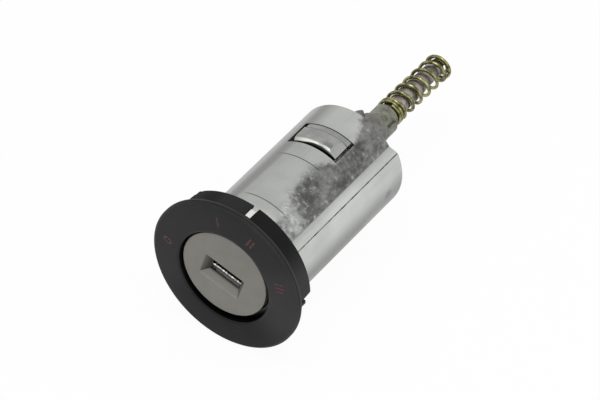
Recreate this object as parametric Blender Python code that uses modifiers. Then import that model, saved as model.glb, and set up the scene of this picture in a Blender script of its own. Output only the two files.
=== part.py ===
"""Ignition lock cylinder with its bezel, barrel housing, wafer plug, retaining catch and sprung tail.

Units are metres. The lock lies along the world's +Y, front face towards -Y, top of the dial at +Z.
Every piece is drawn in the lock's own frame: local Z runs from the face to the tail, and a clock
angle runs clockwise from the top of the dial, as a driver sees it.
"""
import math

import bmesh
import bpy
from mathutils import Matrix, Vector

PARTS = "ignition_lock_cylinder"
CUTTERS = "ignition_lock_cutters"

# Clearances between pieces
GAP = 0.0003
OVERCUT = 0.0010

# Bezel, a moulded ring clipped over the housing's head, which hangs down by its play
BEZEL_WIDTH = 0.0078
BEZEL_HOLE_GAP = 0.0009
BEZEL_CROWN = 0.0005
BEZEL_THICKNESS = 0.0019
BEZEL_RIM_CHAMFER = 0.0006
BEZEL_REAR_CHAMFER = 0.0003
BEZEL_PLAY = 0.0006
BEZEL_PLAY_CLOCK = 170.0
SKIRT_STEP = 0.0007
SKIRT_DRAFT = 0.0003
SKIRT_WALL = 0.0008
SKIRT_FOOT = 0.0010
SKIRT_SECTORS = ((-37.0, 89.0), (141.0, 159.0), (261.0, 279.0))
LUG_CLOCKS = (45.0, 150.0, 270.0)
LUG_CATCH = 0.0007
LUG_HEIGHT = 0.0005
LUG_SLOPE = 0.0006
LUG_HALF_ANGLE = 5.0
LUG_FROM_REAR = 0.0014
NIB_CLOCK = 93.5
NIB_HALF_ANGLE = 1.6
NIB_HEIGHT = 0.0013

# Housing, a zinc casting: a head behind the bezel and a barrel with a locating rib
HEAD_THICKNESS = 0.0046
HEAD_CHAMFER = 0.0004
BARREL_WALL = 0.0037
BARREL_REAR = 0.0519
BARREL_RIM = 0.0007
REAR_WALL = 0.0026
RIB_HEIGHT = 0.0017
RIB_CLOCK = 108.0
RIB_HALF_ANGLE = 42.0
RIB_FLANK_ANGLE = 7.5
RIB_REAR_STEP = 0.0001
RIB_EDGE = 0.0005
KEY_CLOCK = 13.5
KEY_WIDTH = 0.0009
LOCKING_GROOVE_DEPTH = 0.0018

# Face cap, a pressed cup crimped on the plug's head
CAP_FRONT_WALL = 0.0016
CAP_SKIRT_WALL = 0.0005
CAP_EDGE = 0.00035
CRIMP_REACH = 0.0006
CRIMP_THICKNESS = 0.00035
FUNNEL_LENGTH = 0.0110
FUNNEL_WIDTH = 0.0064
SLOT_LENGTH = 0.0086
SLOT_WIDTH = 0.0023
SLOT_DROP = 0.00095
SLOT_SHIFT = -0.0003
FUNNEL_OVERCUT = 0.25

# Plug, turned by the key
KEY_TILT = 18.0
PLUG_RADIUS = 0.0093
PLUG_HEAD_STEP = 0.0014
PLUG_HEAD_THICKNESS = 0.00145
PLUG_REAR_CHAMFER = 0.0004
JOURNAL_RADIUS = 0.0060
JOURNAL_LENGTH = 0.0080
KEYWAY_DEPTH = 0.0345

# Shutter, a sprung flap behind the key slot
SHUTTER_THICKNESS = 0.00035
SHUTTER_EDGE_DROP = 0.00105
SHUTTER_HALF_LENGTH = 0.0042
SHUTTER_KNUCKLE_START = -0.0026
HINGE_PIN_RADIUS = 0.0004
KNUCKLE_WALL = 0.00035
HINGE_PIN_OVERHANG = 0.0018
SHUTTER_WIRE_RADIUS = 0.00015
SHUTTER_SPRING_TURNS = 4

# Wafers and their springs
WAFER_COUNT = 8
WAFER_FIRST = 0.0104
WAFER_PITCH = 0.0032
WAFER_THICKNESS = 0.0007
WAFER_HALF_WIDTH = 0.0036
WAFER_LIFTS = (0.0004, -0.0003, 0.0000, 0.0006, -0.0005, 0.0002, -0.0002, 0.0005)
WAFER_WINDOW_SPARE = 0.0006
EAR_REACH = 0.0021
EAR_LENGTH = 0.0022
WAFER_POCKET_WALL = 0.0021
WAFER_SPRING_RADIUS = 0.0008
WAFER_WIRE_RADIUS = 0.00017
WAFER_SPRING_TURNS = 3

# Retaining catch in its window on top of the barrel
WINDOW_FRONT = 0.0355
WINDOW_LENGTH = 0.0078
WINDOW_HALF_WIDTH = 0.0068
CATCH_FLOOR_WALL = 0.0008
CATCH_TRAVEL = 0.0011
CATCH_PROUD = 0.00025
CATCH_SIDE_GAP = 0.0006
CATCH_FRONT_GAP = 0.0012
CATCH_NOSE = 0.0017
CATCH_NOSE_CURVE = ((0.5, 0.13), (0.13, 0.40), (0.0, 0.70))
CATCH_LEDGE_LENGTH = 0.0019
CATCH_LEDGE_DROP = 0.0003
CATCH_BEVEL_WIDTH = 0.0015
CATCH_BEVEL_DROP = 0.0007
CATCH_CORNER_LENGTH = 0.0016
CATCH_CORNER_DEPTH = 0.0014
CATCH_TAB_LENGTH = 0.0007
CATCH_TAB_HEIGHT = 0.0006
CATCH_TAB_HALF_WIDTH = 0.0032
LEAF_THICKNESS = 0.00025
LEAF_LENGTH = 0.0056
LEAF_HALF_SPAN = 0.0044

# Rear washer and retaining clip
WASHER_BAND = 0.0029
WASHER_THICKNESS = 0.0004
CLIP_THICKNESS = 0.0008
CLIP_GROOVE_DEPTH = 0.0008
CLIP_BAND = 0.0019
CLIP_OPENING = 50.0

# Driver, tail pin and tail spring
TONGUE_HALF_THICKNESS = 0.0015
TONGUE_HALF_WIDTH = 0.0047
TONGUE_LENGTH = 0.0060
CROSS_PIN_RADIUS = 0.0008
CROSS_PIN_INSET = 0.0016
HUB_RADIUS = 0.0042
HUB_LENGTH = 0.0052
COLLAR_RADIUS = 0.0049
COLLAR_LENGTH = 0.0026
CAM_RADIUS = 0.0061
CAM_LENGTH = 0.0034
CAM_CLOCK = -75.0
CAM_HALF_ANGLE = 55.0
DOG_RADIUS = 0.0041
DOG_HALF_ANGLE = 36.0
DOG_START = 0.0020
DOG_LENGTH = 0.0069
DRIVER_EDGE = 0.0005
SLEEVE_RADIUS = 0.00335
SLEEVE_LENGTH = 0.0052
SLEEVE_EDGE = 0.00025
TAIL_PIN_RADIUS = 0.0021
TAIL_PIN_END = 0.0902
TAIL_PIN_INSET = 0.0090
TAIL_SPRING_RADIUS = 0.00355
TAIL_WIRE_RADIUS = 0.00039
BASE_COILS = 2.0
ACTIVE_COILS = 5.6
END_COILS = 1.0
COIL_CLOSE_PITCH = 0.00086
COIL_ACTIVE_PITCH = 0.0035
COIL_START_CLOCK = 0.0
SPRING_LEAN = 0.00035
SPRING_LEAN_CLOCK = 125.0

# Facets
ROUND_STEPS = 60
PLUG_STEPS = 42
SMALL_STEPS = 20
COIL_STEPS = 13
SMALL_COIL_STEPS = 6
SECTOR_STEP = 8.0
MERGE = 0.00001
ROUNDING = 0.3

# Radii that follow from the plug outwards
PLUG_BORE_RADIUS = PLUG_RADIUS + GAP
BARREL_RADIUS = PLUG_BORE_RADIUS + BARREL_WALL
RIB_RADIUS = BARREL_RADIUS + RIB_HEIGHT
PLUG_HEAD_RADIUS = PLUG_RADIUS + PLUG_HEAD_STEP
CAP_INNER = PLUG_HEAD_RADIUS + GAP
CAP_RADIUS = CAP_INNER + CAP_SKIRT_WALL
BEZEL_HOLE_RADIUS = CAP_RADIUS + BEZEL_HOLE_GAP
BEZEL_RADIUS = BEZEL_HOLE_RADIUS + BEZEL_WIDTH
SKIRT_OUTER = BEZEL_RADIUS - SKIRT_STEP
SKIRT_REAR_OUTER = SKIRT_OUTER - SKIRT_DRAFT
SKIRT_INNER = SKIRT_REAR_OUTER - SKIRT_WALL
HEAD_RADIUS = SKIRT_INNER - BEZEL_PLAY - GAP
LUG_TIP_RADIUS = HEAD_RADIUS - LUG_CATCH

# Places that follow, measured along the lock from its face
HEAD_FRONT = BEZEL_THICKNESS + GAP
HEAD_REAR = HEAD_FRONT + HEAD_THICKNESS
SKIRT_REAR = HEAD_REAR - 0.5 * GAP
SKIRT_FOOT_REAR = BEZEL_THICKNESS + SKIRT_FOOT
LUG_REAR = SKIRT_REAR - LUG_FROM_REAR

PLUG_FRONT = CAP_FRONT_WALL + GAP
PLUG_HEAD_REAR = PLUG_FRONT + PLUG_HEAD_THICKNESS
CAP_REAR = PLUG_HEAD_REAR + GAP + CRIMP_THICKNESS
CAP_BORE_RADIUS = CAP_RADIUS + GAP
CAP_BORE_REAR = CAP_REAR + GAP
BORE_REAR = BARREL_REAR - REAR_WALL
PLUG_BODY_REAR = BORE_REAR - GAP
REAR_HOLE_RADIUS = JOURNAL_RADIUS + GAP
WASHER_RADIUS = REAR_HOLE_RADIUS + WASHER_BAND

HINGE_RADIUS = HINGE_PIN_RADIUS + GAP + KNUCKLE_WALL
HINGE_Y = 0.5 * SLOT_WIDTH + HINGE_RADIUS + SHUTTER_THICKNESS
HINGE_Z = PLUG_FRONT + HINGE_RADIUS
SHUTTER_EDGE = SHUTTER_EDGE_DROP - 0.5 * SLOT_WIDTH
SHUTTER_REACH = HINGE_Y - SHUTTER_EDGE
SHUTTER_SWING = math.hypot(SHUTTER_REACH, HINGE_RADIUS)
RECESS_REAR = HINGE_Z + SHUTTER_SWING + GAP
RECESS_HALF_LENGTH = SHUTTER_HALF_LENGTH + 2.0 * GAP

WAFER_SLOT_HALF = 0.5 * WAFER_THICKNESS + GAP
WAFER_SPRING_POCKET_HALF = WAFER_SPRING_RADIUS + GAP
EAR_OUTER = WAFER_HALF_WIDTH + EAR_REACH
EAR_LOW = -0.5 * EAR_LENGTH
WAFER_SPRING_FLOOR = WAFER_POCKET_WALL - math.sqrt(PLUG_RADIUS**2 - (EAR_OUTER + GAP) ** 2)
WAFER_SPRING_LENGTH = EAR_LOW - 2.0 * GAP - WAFER_SPRING_FLOOR
WAFER_LAST = WAFER_FIRST + (WAFER_COUNT - 1) * WAFER_PITCH

CATCH_FLOOR_RADIUS = PLUG_BORE_RADIUS + CATCH_FLOOR_WALL
CATCH_UNDER_RADIUS = CATCH_FLOOR_RADIUS + CATCH_TRAVEL + 0.5 * GAP
CATCH_TOP_RADIUS = BARREL_RADIUS + CATCH_PROUD
CATCH_HALF_WIDTH = WINDOW_HALF_WIDTH - CATCH_SIDE_GAP
WINDOW_REAR = WINDOW_FRONT + WINDOW_LENGTH
CATCH_FRONT = WINDOW_FRONT + CATCH_FRONT_GAP
CATCH_REAR = WINDOW_REAR - GAP
CATCH_TAB_TOP = CATCH_UNDER_RADIUS + CATCH_TAB_HEIGHT
CATCH_TAB_FRONT = WINDOW_FRONT + GAP - CATCH_TAB_LENGTH
CATCH_TAB_REAR = CATCH_REAR + CATCH_TAB_LENGTH

WASHER_FRONT = BARREL_REAR + GAP
GROOVE_FRONT = WASHER_FRONT + WASHER_THICKNESS + 0.5 * GAP
GROOVE_REAR = GROOVE_FRONT + CLIP_THICKNESS + 2.0 * GAP
GROOVE_RADIUS = JOURNAL_RADIUS - CLIP_GROOVE_DEPTH
PLUG_END = PLUG_BODY_REAR + JOURNAL_LENGTH
CROSS_PIN_Z = PLUG_END - CROSS_PIN_INSET
HUB_FRONT = PLUG_END + GAP
HUB_REAR = HUB_FRONT + HUB_LENGTH
SLEEVE_REAR = HUB_REAR + SLEEVE_LENGTH
TONGUE_FRONT = HUB_FRONT - TONGUE_LENGTH
TAIL_BORE_RADIUS = TAIL_PIN_RADIUS + GAP
TAIL_PIN_START = SLEEVE_REAR - TAIL_PIN_INSET
TAIL_SPRING_START = SLEEVE_REAR + GAP + TAIL_WIRE_RADIUS

MATERIALS = {
    "zinc_casting": ((0.62, 0.63, 0.64), 0.38, 1.0),
    "driver_zinc": ((0.23, 0.22, 0.21), 0.55, 1.0),
    "bezel_plastic": ((0.045, 0.045, 0.05), 0.55, 0.0),
    "cap_satin": ((0.42, 0.40, 0.38), 0.42, 1.0),
    "brass": ((0.72, 0.55, 0.27), 0.35, 1.0),
    "spring_steel": ((0.55, 0.55, 0.56), 0.30, 1.0),
    "yellow_zinc": ((0.46, 0.42, 0.19), 0.32, 1.0),
    "pin_steel": ((0.42, 0.38, 0.37), 0.35, 1.0),
}


def clear_scene():
    """Removes whatever the file held before."""
    for obj in list(bpy.data.objects):
        bpy.data.objects.remove(obj, do_unlink=True)
    for collection in list(bpy.data.collections):
        bpy.data.collections.remove(collection)


def make_collections():
    """One collection for the pieces and one for the shapes that cut them."""
    for name in (PARTS, CUTTERS):
        bpy.context.scene.collection.children.link(bpy.data.collections.new(name))


def make_materials():
    """One Principled material for each finish of the lock."""
    for name, (colour, roughness, metallic) in MATERIALS.items():
        material = bpy.data.materials.new(name)
        material.use_nodes = True
        shader = material.node_tree.nodes["Principled BSDF"]
        shader.inputs["Base Color"].default_value = (*colour, 1.0)
        shader.inputs["Roughness"].default_value = roughness
        shader.inputs["Metallic"].default_value = metallic
        material.diffuse_color = (*colour, 1.0)


def add_empty(name, parent=None, turn=(0.0, 0.0, 0.0), place=(0.0, 0.0, 0.0)):
    """An empty that carries a frame."""
    empty = bpy.data.objects.new(name, None)
    bpy.data.collections[PARTS].objects.link(empty)
    empty.parent = parent
    empty.rotation_euler = turn
    empty.location = place
    return empty


def add_piece(name, data, material, frame):
    """Links a mesh or a curve as a named piece of the lock."""
    obj = bpy.data.objects.new(name, data)
    bpy.data.collections[PARTS].objects.link(obj)
    obj.parent = frame
    data.materials.append(bpy.data.materials[material])
    return obj


def add_cutter(name, data, frame):
    """Links a mesh as a hidden shape that cuts or joins a piece."""
    obj = bpy.data.objects.new(name, data)
    bpy.data.collections[CUTTERS].objects.link(obj)
    obj.parent = frame
    obj.hide_render = True
    obj.display_type = "WIRE"
    return obj


def combine(piece, other, operation="DIFFERENCE"):
    """Cuts a piece with another shape, or joins the shape to it."""
    boolean = piece.modifiers.new(other.name, "BOOLEAN")
    boolean.operation = operation
    boolean.solver = "EXACT"
    boolean.object = other


def trim(piece, name, corners, outwards, frame):
    """Cuts off what lies beyond the plane through three points, on the side that outwards points to."""
    first, second, third = (Vector(corner) for corner in corners)
    normal = (second - first).cross(third - first).normalized()
    if normal.dot(Vector(outwards)) < 0.0:
        normal.negate()
    size = 2.0 * BARREL_RADIUS
    middle = (first + second + third) / 3.0 + 0.5 * size * normal
    turn = normal.to_track_quat("Z", "Y").to_matrix().to_4x4()
    bm = bmesh.new()
    bmesh.ops.create_cube(bm, size=size, matrix=Matrix.Translation(middle) @ turn)
    combine(piece, add_cutter(name, finish_bmesh(bm, name), frame))


def soften(cutter, width):
    """One flat bevel along a shape's sharp edges."""
    bevel = cutter.modifiers.new("softened edges", "BEVEL")
    bevel.width = width
    bevel.segments = 1
    bevel.limit_method = "ANGLE"
    bevel.angle_limit = math.radians(60.0)


def turn_profile(piece, steps):
    """Turns a profile drawn at +X about the lock's axis."""
    screw = piece.modifiers.new("turned", "SCREW")
    screw.axis = "Z"
    screw.angle = 2.0 * math.pi
    screw.screw_offset = 0.0
    screw.steps = steps
    screw.render_steps = steps
    screw.use_merge_vertices = True
    screw.merge_threshold = MERGE
    screw.use_smooth_shade = True


def profile_mesh(name, points, closed):
    """A mesh of edges through (radius, z) points."""
    bm = bmesh.new()
    vertices = [bm.verts.new((radius, 0.0, z)) for radius, z in points]
    for first, second in zip(vertices, vertices[1:]):
        bm.edges.new((first, second))
    if closed:
        bm.edges.new((vertices[-1], vertices[0]))
    return finish_bmesh(bm, name)


def finish_bmesh(bm, name):
    """Writes a bmesh to a new mesh."""
    mesh = bpy.data.meshes.new(name)
    bm.to_mesh(mesh)
    bm.free()
    return mesh


def box_mesh(name, low, high):
    """A box between two corners."""
    low = Vector(low)
    high = Vector(high)
    bm = bmesh.new()
    size = Matrix.Diagonal((*(high - low), 1.0))
    bmesh.ops.create_cube(bm, size=1.0, matrix=Matrix.Translation(0.5 * (low + high)) @ size)
    return finish_bmesh(bm, name)


def tapered_mesh(name, front, rear):
    """A box whose front and rear ends differ: each end is (half length, half width, z)."""
    bm = bmesh.new()
    bmesh.ops.create_cube(bm, size=2.0)
    for vertex in bm.verts:
        half_length, half_width, z = rear if vertex.co.z > 0.0 else front
        vertex.co = Vector((vertex.co.x * half_length, vertex.co.y * half_width, z))
    return finish_bmesh(bm, name)


def rod_mesh(name, radius, start, end, steps):
    """A round rod between two points."""
    start = Vector(start)
    along = Vector(end) - start
    turn = along.to_track_quat("Z", "Y").to_matrix().to_4x4()
    place = Matrix.Translation(start + 0.5 * along) @ turn
    bm = bmesh.new()
    bmesh.ops.create_cone(
        bm, cap_ends=True, segments=steps, radius1=radius, radius2=radius, depth=along.length, matrix=place
    )
    return finish_bmesh(bm, name)


def at_clock(radius, clock):
    """The point at a radius and a clock angle."""
    angle = math.radians(clock)
    return (radius * math.sin(angle), -radius * math.cos(angle))


def arc(radius, start, end, steps):
    """Points on an arc about the lock's axis, between two clock angles."""
    return [at_clock(radius, start + (end - start) * i / steps) for i in range(steps + 1)]


def outline_mesh(name, loops, low, high):
    """A flat outline, with holes where there is more than one loop, made as thick as low to high."""
    curve = bpy.data.curves.new(name, "CURVE")
    curve.dimensions = "2D"
    curve.fill_mode = "BOTH"
    curve.extrude = 0.5 * (high - low)
    for loop in loops:
        spline = curve.splines.new("POLY")
        spline.points.add(len(loop) - 1)
        for point, (x, y) in zip(spline.points, loop):
            point.co = (x, y, 0.0, 1.0)
        spline.use_cyclic_u = True
    return welded_mesh(name, curve, Matrix.Translation((0.0, 0.0, 0.5 * (low + high))))


def welded_mesh(name, curve, place):
    """The mesh of a curve with its caps welded on, moved to its place."""
    guide = bpy.data.objects.new(name + "_guide", curve)
    bpy.context.scene.collection.objects.link(guide)
    evaluated = guide.evaluated_get(bpy.context.evaluated_depsgraph_get())
    mesh = bpy.data.meshes.new_from_object(evaluated)
    bpy.data.objects.remove(guide, do_unlink=True)
    bm = bmesh.new()
    bm.from_mesh(mesh)
    bmesh.ops.remove_doubles(bm, verts=bm.verts, dist=MERGE)
    bmesh.ops.transform(bm, matrix=place, verts=bm.verts)
    bm.to_mesh(mesh)
    bm.free()
    mesh.name = name
    return mesh


def swept_mesh(name, profile, start, end, steps):
    """A closed (radius, z) section carried round the lock's axis between two clock angles."""
    bm = bmesh.new()
    angle = math.radians(start)
    vertices = [bm.verts.new((r * math.sin(angle), -r * math.cos(angle), z)) for r, z in profile]
    section = bm.faces.new(vertices)
    bmesh.ops.spin(
        bm,
        geom=[section, *section.edges, *section.verts],
        cent=(0.0, 0.0, 0.0),
        axis=(0.0, 0.0, 1.0),
        angle=math.radians(end - start),
        steps=steps,
    )
    bmesh.ops.recalc_face_normals(bm, faces=bm.faces)
    return finish_bmesh(bm, name)


def wire_curve(name, points, radius):
    """A round wire through points."""
    curve = bpy.data.curves.new(name, "CURVE")
    curve.dimensions = "3D"
    curve.bevel_depth = radius
    curve.bevel_resolution = 2
    curve.use_fill_caps = True
    spline = curve.splines.new("POLY")
    spline.points.add(len(points) - 1)
    for point, place in zip(spline.points, points):
        point.co = (*place, 1.0)
    return curve


def make_bezel(lock):
    """The black dial ring: crowned front, stepped rim, and a skirt that snaps over the head."""
    seat = add_empty("bezel_seat", lock, place=(*at_clock(BEZEL_PLAY, BEZEL_PLAY_CLOCK), 0.0))
    profile = [
        (SKIRT_REAR_OUTER, SKIRT_REAR),
        (SKIRT_OUTER, BEZEL_THICKNESS),
        (BEZEL_RADIUS - BEZEL_REAR_CHAMFER, BEZEL_THICKNESS),
        (BEZEL_RADIUS, BEZEL_THICKNESS - BEZEL_REAR_CHAMFER),
        (BEZEL_RADIUS, BEZEL_RIM_CHAMFER),
        (BEZEL_RADIUS - BEZEL_RIM_CHAMFER, 0.0),
        (BEZEL_HOLE_RADIUS + BEZEL_CROWN, -BEZEL_CROWN),
        (BEZEL_HOLE_RADIUS, -0.5 * BEZEL_CROWN),
        (BEZEL_HOLE_RADIUS, BEZEL_THICKNESS),
        (SKIRT_INNER, BEZEL_THICKNESS),
        (SKIRT_INNER, SKIRT_REAR),
    ]
    bezel = add_piece("bezel", profile_mesh("bezel", profile, closed=True), "bezel_plastic", seat)
    turn_profile(bezel, ROUND_STEPS)
    cut_skirt_gaps(bezel, seat)
    add_snaps(bezel, seat)
    cut_key_notch(bezel, lock)
    return bezel


def cut_skirt_gaps(bezel, seat):
    """The skirt stands to its full height over the top, and lower down only in two snap tabs."""
    gap = [
        (SKIRT_INNER - OVERCUT, SKIRT_FOOT_REAR),
        (SKIRT_OUTER + OVERCUT, SKIRT_FOOT_REAR),
        (SKIRT_OUTER + OVERCUT, SKIRT_REAR + OVERCUT),
        (SKIRT_INNER - OVERCUT, SKIRT_REAR + OVERCUT),
    ]
    following = SKIRT_SECTORS[1:] + SKIRT_SECTORS[:1]
    for number, (sector, after) in enumerate(zip(SKIRT_SECTORS, following), start=1):
        start = sector[1]
        end = after[0] if after[0] > start else after[0] + 360.0
        name = f"skirt_gap_{number}"
        mesh = swept_mesh(name, gap, start, end, round((end - start) / SECTOR_STEP))
        combine(bezel, add_cutter(name, mesh, seat))


def add_snaps(bezel, seat):
    """Three lugs inside the skirt that catch the head's groove, and a nib on the cut-down skirt."""
    middle = 0.5 * (SKIRT_INNER + SKIRT_REAR_OUTER)
    lug = [
        (LUG_TIP_RADIUS, LUG_REAR - LUG_HEIGHT),
        (middle, LUG_REAR - LUG_HEIGHT),
        (middle, LUG_REAR + LUG_SLOPE),
        (LUG_TIP_RADIUS, LUG_REAR),
    ]
    for number, clock in enumerate(LUG_CLOCKS, start=1):
        name = f"bezel_lug_{number}"
        mesh = swept_mesh(name, lug, clock - LUG_HALF_ANGLE, clock + LUG_HALF_ANGLE, 3)
        combine(bezel, add_cutter(name, mesh, seat), "UNION")
    nib = [
        (middle, SKIRT_FOOT_REAR - 0.5 * SKIRT_FOOT),
        (SKIRT_OUTER, SKIRT_FOOT_REAR - 0.5 * SKIRT_FOOT),
        (SKIRT_OUTER, SKIRT_FOOT_REAR + NIB_HEIGHT),
        (middle, SKIRT_FOOT_REAR + NIB_HEIGHT),
    ]
    mesh = swept_mesh("bezel_nib", nib, NIB_CLOCK - NIB_HALF_ANGLE, NIB_CLOCK + NIB_HALF_ANGLE, 1)
    combine(bezel, add_cutter("bezel_nib", mesh, seat), "UNION")


def cut_key_notch(bezel, lock):
    """The notch in the skirt that the housing's key stands in."""
    half = 0.5 * KEY_WIDTH + GAP
    low = (-half, -SKIRT_OUTER - OVERCUT, HEAD_FRONT)
    high = (half, -SKIRT_INNER + OVERCUT + BEZEL_PLAY, SKIRT_REAR + OVERCUT)
    notch = add_cutter("bezel_notch", box_mesh("bezel_notch", low, high), lock)
    notch.rotation_euler = (0.0, 0.0, math.radians(KEY_CLOCK))
    combine(bezel, notch)


def make_housing(lock, plug_frame):
    """The casting: head, barrel, locating rib, plug bore, wafer groove, catch window and key."""
    groove_floor = LUG_TIP_RADIUS - BEZEL_PLAY - GAP
    groove_front = LUG_REAR - LUG_HEIGHT - GAP
    groove_rear = LUG_REAR + LUG_SLOPE + GAP
    profile = [
        (REAR_HOLE_RADIUS, BARREL_REAR),
        (BARREL_RADIUS - BARREL_RIM, BARREL_REAR),
        (BARREL_RADIUS - ROUNDING * BARREL_RIM, BARREL_REAR - ROUNDING * BARREL_RIM),
        (BARREL_RADIUS, BARREL_REAR - BARREL_RIM),
        (BARREL_RADIUS, HEAD_REAR),
        (HEAD_RADIUS - 0.5 * HEAD_CHAMFER, HEAD_REAR),
        (HEAD_RADIUS - 0.5 * HEAD_CHAMFER, groove_rear),
        (groove_floor, groove_rear),
        (groove_floor, groove_front),
        (HEAD_RADIUS, groove_front),
        (HEAD_RADIUS, HEAD_FRONT + HEAD_CHAMFER),
        (HEAD_RADIUS - HEAD_CHAMFER, HEAD_FRONT),
        (CAP_BORE_RADIUS, HEAD_FRONT),
        (CAP_BORE_RADIUS, CAP_BORE_REAR),
        (PLUG_BORE_RADIUS, CAP_BORE_REAR),
        (PLUG_BORE_RADIUS, BORE_REAR),
        (REAR_HOLE_RADIUS, BORE_REAR),
    ]
    housing = add_piece("housing", profile_mesh("housing", profile, closed=True), "zinc_casting", lock)
    turn_profile(housing, ROUND_STEPS)
    add_rib(housing, lock)
    add_locating_key(housing, lock)
    cut_locking_groove(housing, plug_frame)
    cut_catch_window(housing, lock)
    return housing


def add_rib(housing, lock):
    """A wide raised rib along the barrel, over the groove that the wafers lock into."""
    inner = 0.5 * (PLUG_BORE_RADIUS + BARREL_RADIUS)
    start = RIB_CLOCK - RIB_HALF_ANGLE
    end = RIB_CLOCK + RIB_HALF_ANGLE
    foot_start = start - RIB_FLANK_ANGLE
    foot_end = end + RIB_FLANK_ANGLE
    outline = arc(RIB_RADIUS, start, end, 16)
    outline.append(at_clock(BARREL_RADIUS, foot_end))
    outline += arc(inner, foot_end, foot_start, 12)
    outline.append(at_clock(BARREL_RADIUS, foot_start))
    mesh = outline_mesh("rib", [outline], HEAD_REAR - OVERCUT, BARREL_REAR - RIB_REAR_STEP)
    rib = add_cutter("housing_rib", mesh, lock)
    soften(rib, RIB_EDGE)
    combine(housing, rib, "UNION")


def add_locating_key(housing, lock):
    """A small key on the head that shows in the bezel's notch."""
    half = 0.5 * KEY_WIDTH
    low = (-half, BEZEL_PLAY - SKIRT_REAR_OUTER, HEAD_FRONT + GAP)
    high = (half, -HEAD_RADIUS + OVERCUT, LUG_REAR)
    key = add_cutter("housing_key", box_mesh("housing_key", low, high), lock)
    key.rotation_euler = (0.0, 0.0, math.radians(KEY_CLOCK))
    combine(housing, key, "UNION")


def cut_locking_groove(housing, plug_frame):
    """The groove in the bore, under the rib, that the unlifted wafers spring into."""
    half = WAFER_HALF_WIDTH + GAP
    low = (0.8 * PLUG_BORE_RADIUS, -half, WAFER_FIRST - WAFER_PITCH)
    high = (PLUG_BORE_RADIUS + LOCKING_GROOVE_DEPTH, half, WAFER_LAST + WAFER_PITCH)
    mesh = box_mesh("locking_groove", low, high)
    combine(housing, add_cutter("locking_groove", mesh, plug_frame))


def window_outline(outer, inner, half_width):
    """Sides parallel to the catch's travel, with a floor curved about the lock's axis."""
    side = math.degrees(math.asin(half_width / inner))
    points = arc(inner, -side, side, 10)
    if outer is None:
        top = 2.0 * BARREL_RADIUS
        return points + [(half_width, -top), (-half_width, -top)]
    far = math.degrees(math.asin(half_width / outer))
    return points + arc(outer, far, -far, 10)


def cut_catch_window(housing, lock):
    """The window that the catch stands in, and the undercut that keeps its tabs in."""
    opening = window_outline(None, CATCH_FLOOR_RADIUS, WINDOW_HALF_WIDTH)
    mesh = outline_mesh("window", [opening], WINDOW_FRONT, WINDOW_REAR)
    combine(housing, add_cutter("catch_window", mesh, lock))
    half = CATCH_TAB_HALF_WIDTH + 2.0 * GAP
    under = window_outline(CATCH_TAB_TOP + GAP, CATCH_FLOOR_RADIUS, half)
    mesh = outline_mesh("undercut", [under], CATCH_TAB_FRONT - GAP, CATCH_TAB_REAR + GAP)
    combine(housing, add_cutter("catch_undercut", mesh, lock))


def make_catch(lock):
    """The sprung catch: curved to the barrel, nosed at the front, stepped down at the rear."""
    height = CATCH_TOP_RADIUS - CATCH_UNDER_RADIUS
    ledge = CATCH_REAR - CATCH_LEDGE_LENGTH
    profile = [
        (CATCH_UNDER_RADIUS, CATCH_FRONT),
        (CATCH_UNDER_RADIUS, CATCH_REAR),
        (CATCH_TOP_RADIUS - CATCH_LEDGE_DROP, CATCH_REAR),
        (CATCH_TOP_RADIUS - CATCH_LEDGE_DROP, ledge + 0.5 * CATCH_LEDGE_DROP),
        (CATCH_TOP_RADIUS, ledge),
        (CATCH_TOP_RADIUS, CATCH_FRONT + CATCH_NOSE),
    ]
    for along, down in CATCH_NOSE_CURVE:
        profile.append((CATCH_TOP_RADIUS - down * height, CATCH_FRONT + along * CATCH_NOSE))
    side = math.degrees(math.asin(CATCH_HALF_WIDTH / CATCH_TOP_RADIUS))
    mesh = swept_mesh("retaining_catch", profile, -side, side, 16)
    catch = add_piece("retaining_catch", mesh, "zinc_casting", lock)
    tab_half = CATCH_TAB_HALF_WIDTH
    tabs = window_outline(CATCH_TAB_TOP, CATCH_UNDER_RADIUS, tab_half)
    mesh = outline_mesh("catch_tabs", [tabs], CATCH_TAB_FRONT, CATCH_TAB_REAR)
    combine(catch, add_cutter("catch_tabs", mesh, lock), "UNION")
    trim_catch(catch, lock)
    return catch


def trim_catch(catch, lock):
    """The catch's clockwise end slopes down, and its front corner there is cut off at a slant."""
    inner = CATCH_HALF_WIDTH - CATCH_BEVEL_WIDTH
    top = -math.sqrt(CATCH_TOP_RADIUS**2 - inner**2)
    end = CATCH_BEVEL_DROP - math.sqrt(CATCH_TOP_RADIUS**2 - CATCH_HALF_WIDTH**2)
    slope = [(inner, top, CATCH_FRONT), (inner, top, CATCH_REAR), (CATCH_HALF_WIDTH, end, CATCH_FRONT)]
    trim(catch, "catch_bevel", slope, (0.0, -1.0, 0.0), lock)
    low = CATCH_CORNER_DEPTH + top
    corner = [
        (inner, top, CATCH_FRONT + CATCH_NOSE),
        (inner, low, CATCH_FRONT),
        (CATCH_HALF_WIDTH, low, CATCH_FRONT + CATCH_CORNER_LENGTH),
    ]
    trim(catch, "catch_corner", corner, (0.0, 0.0, -1.0), lock)


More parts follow.
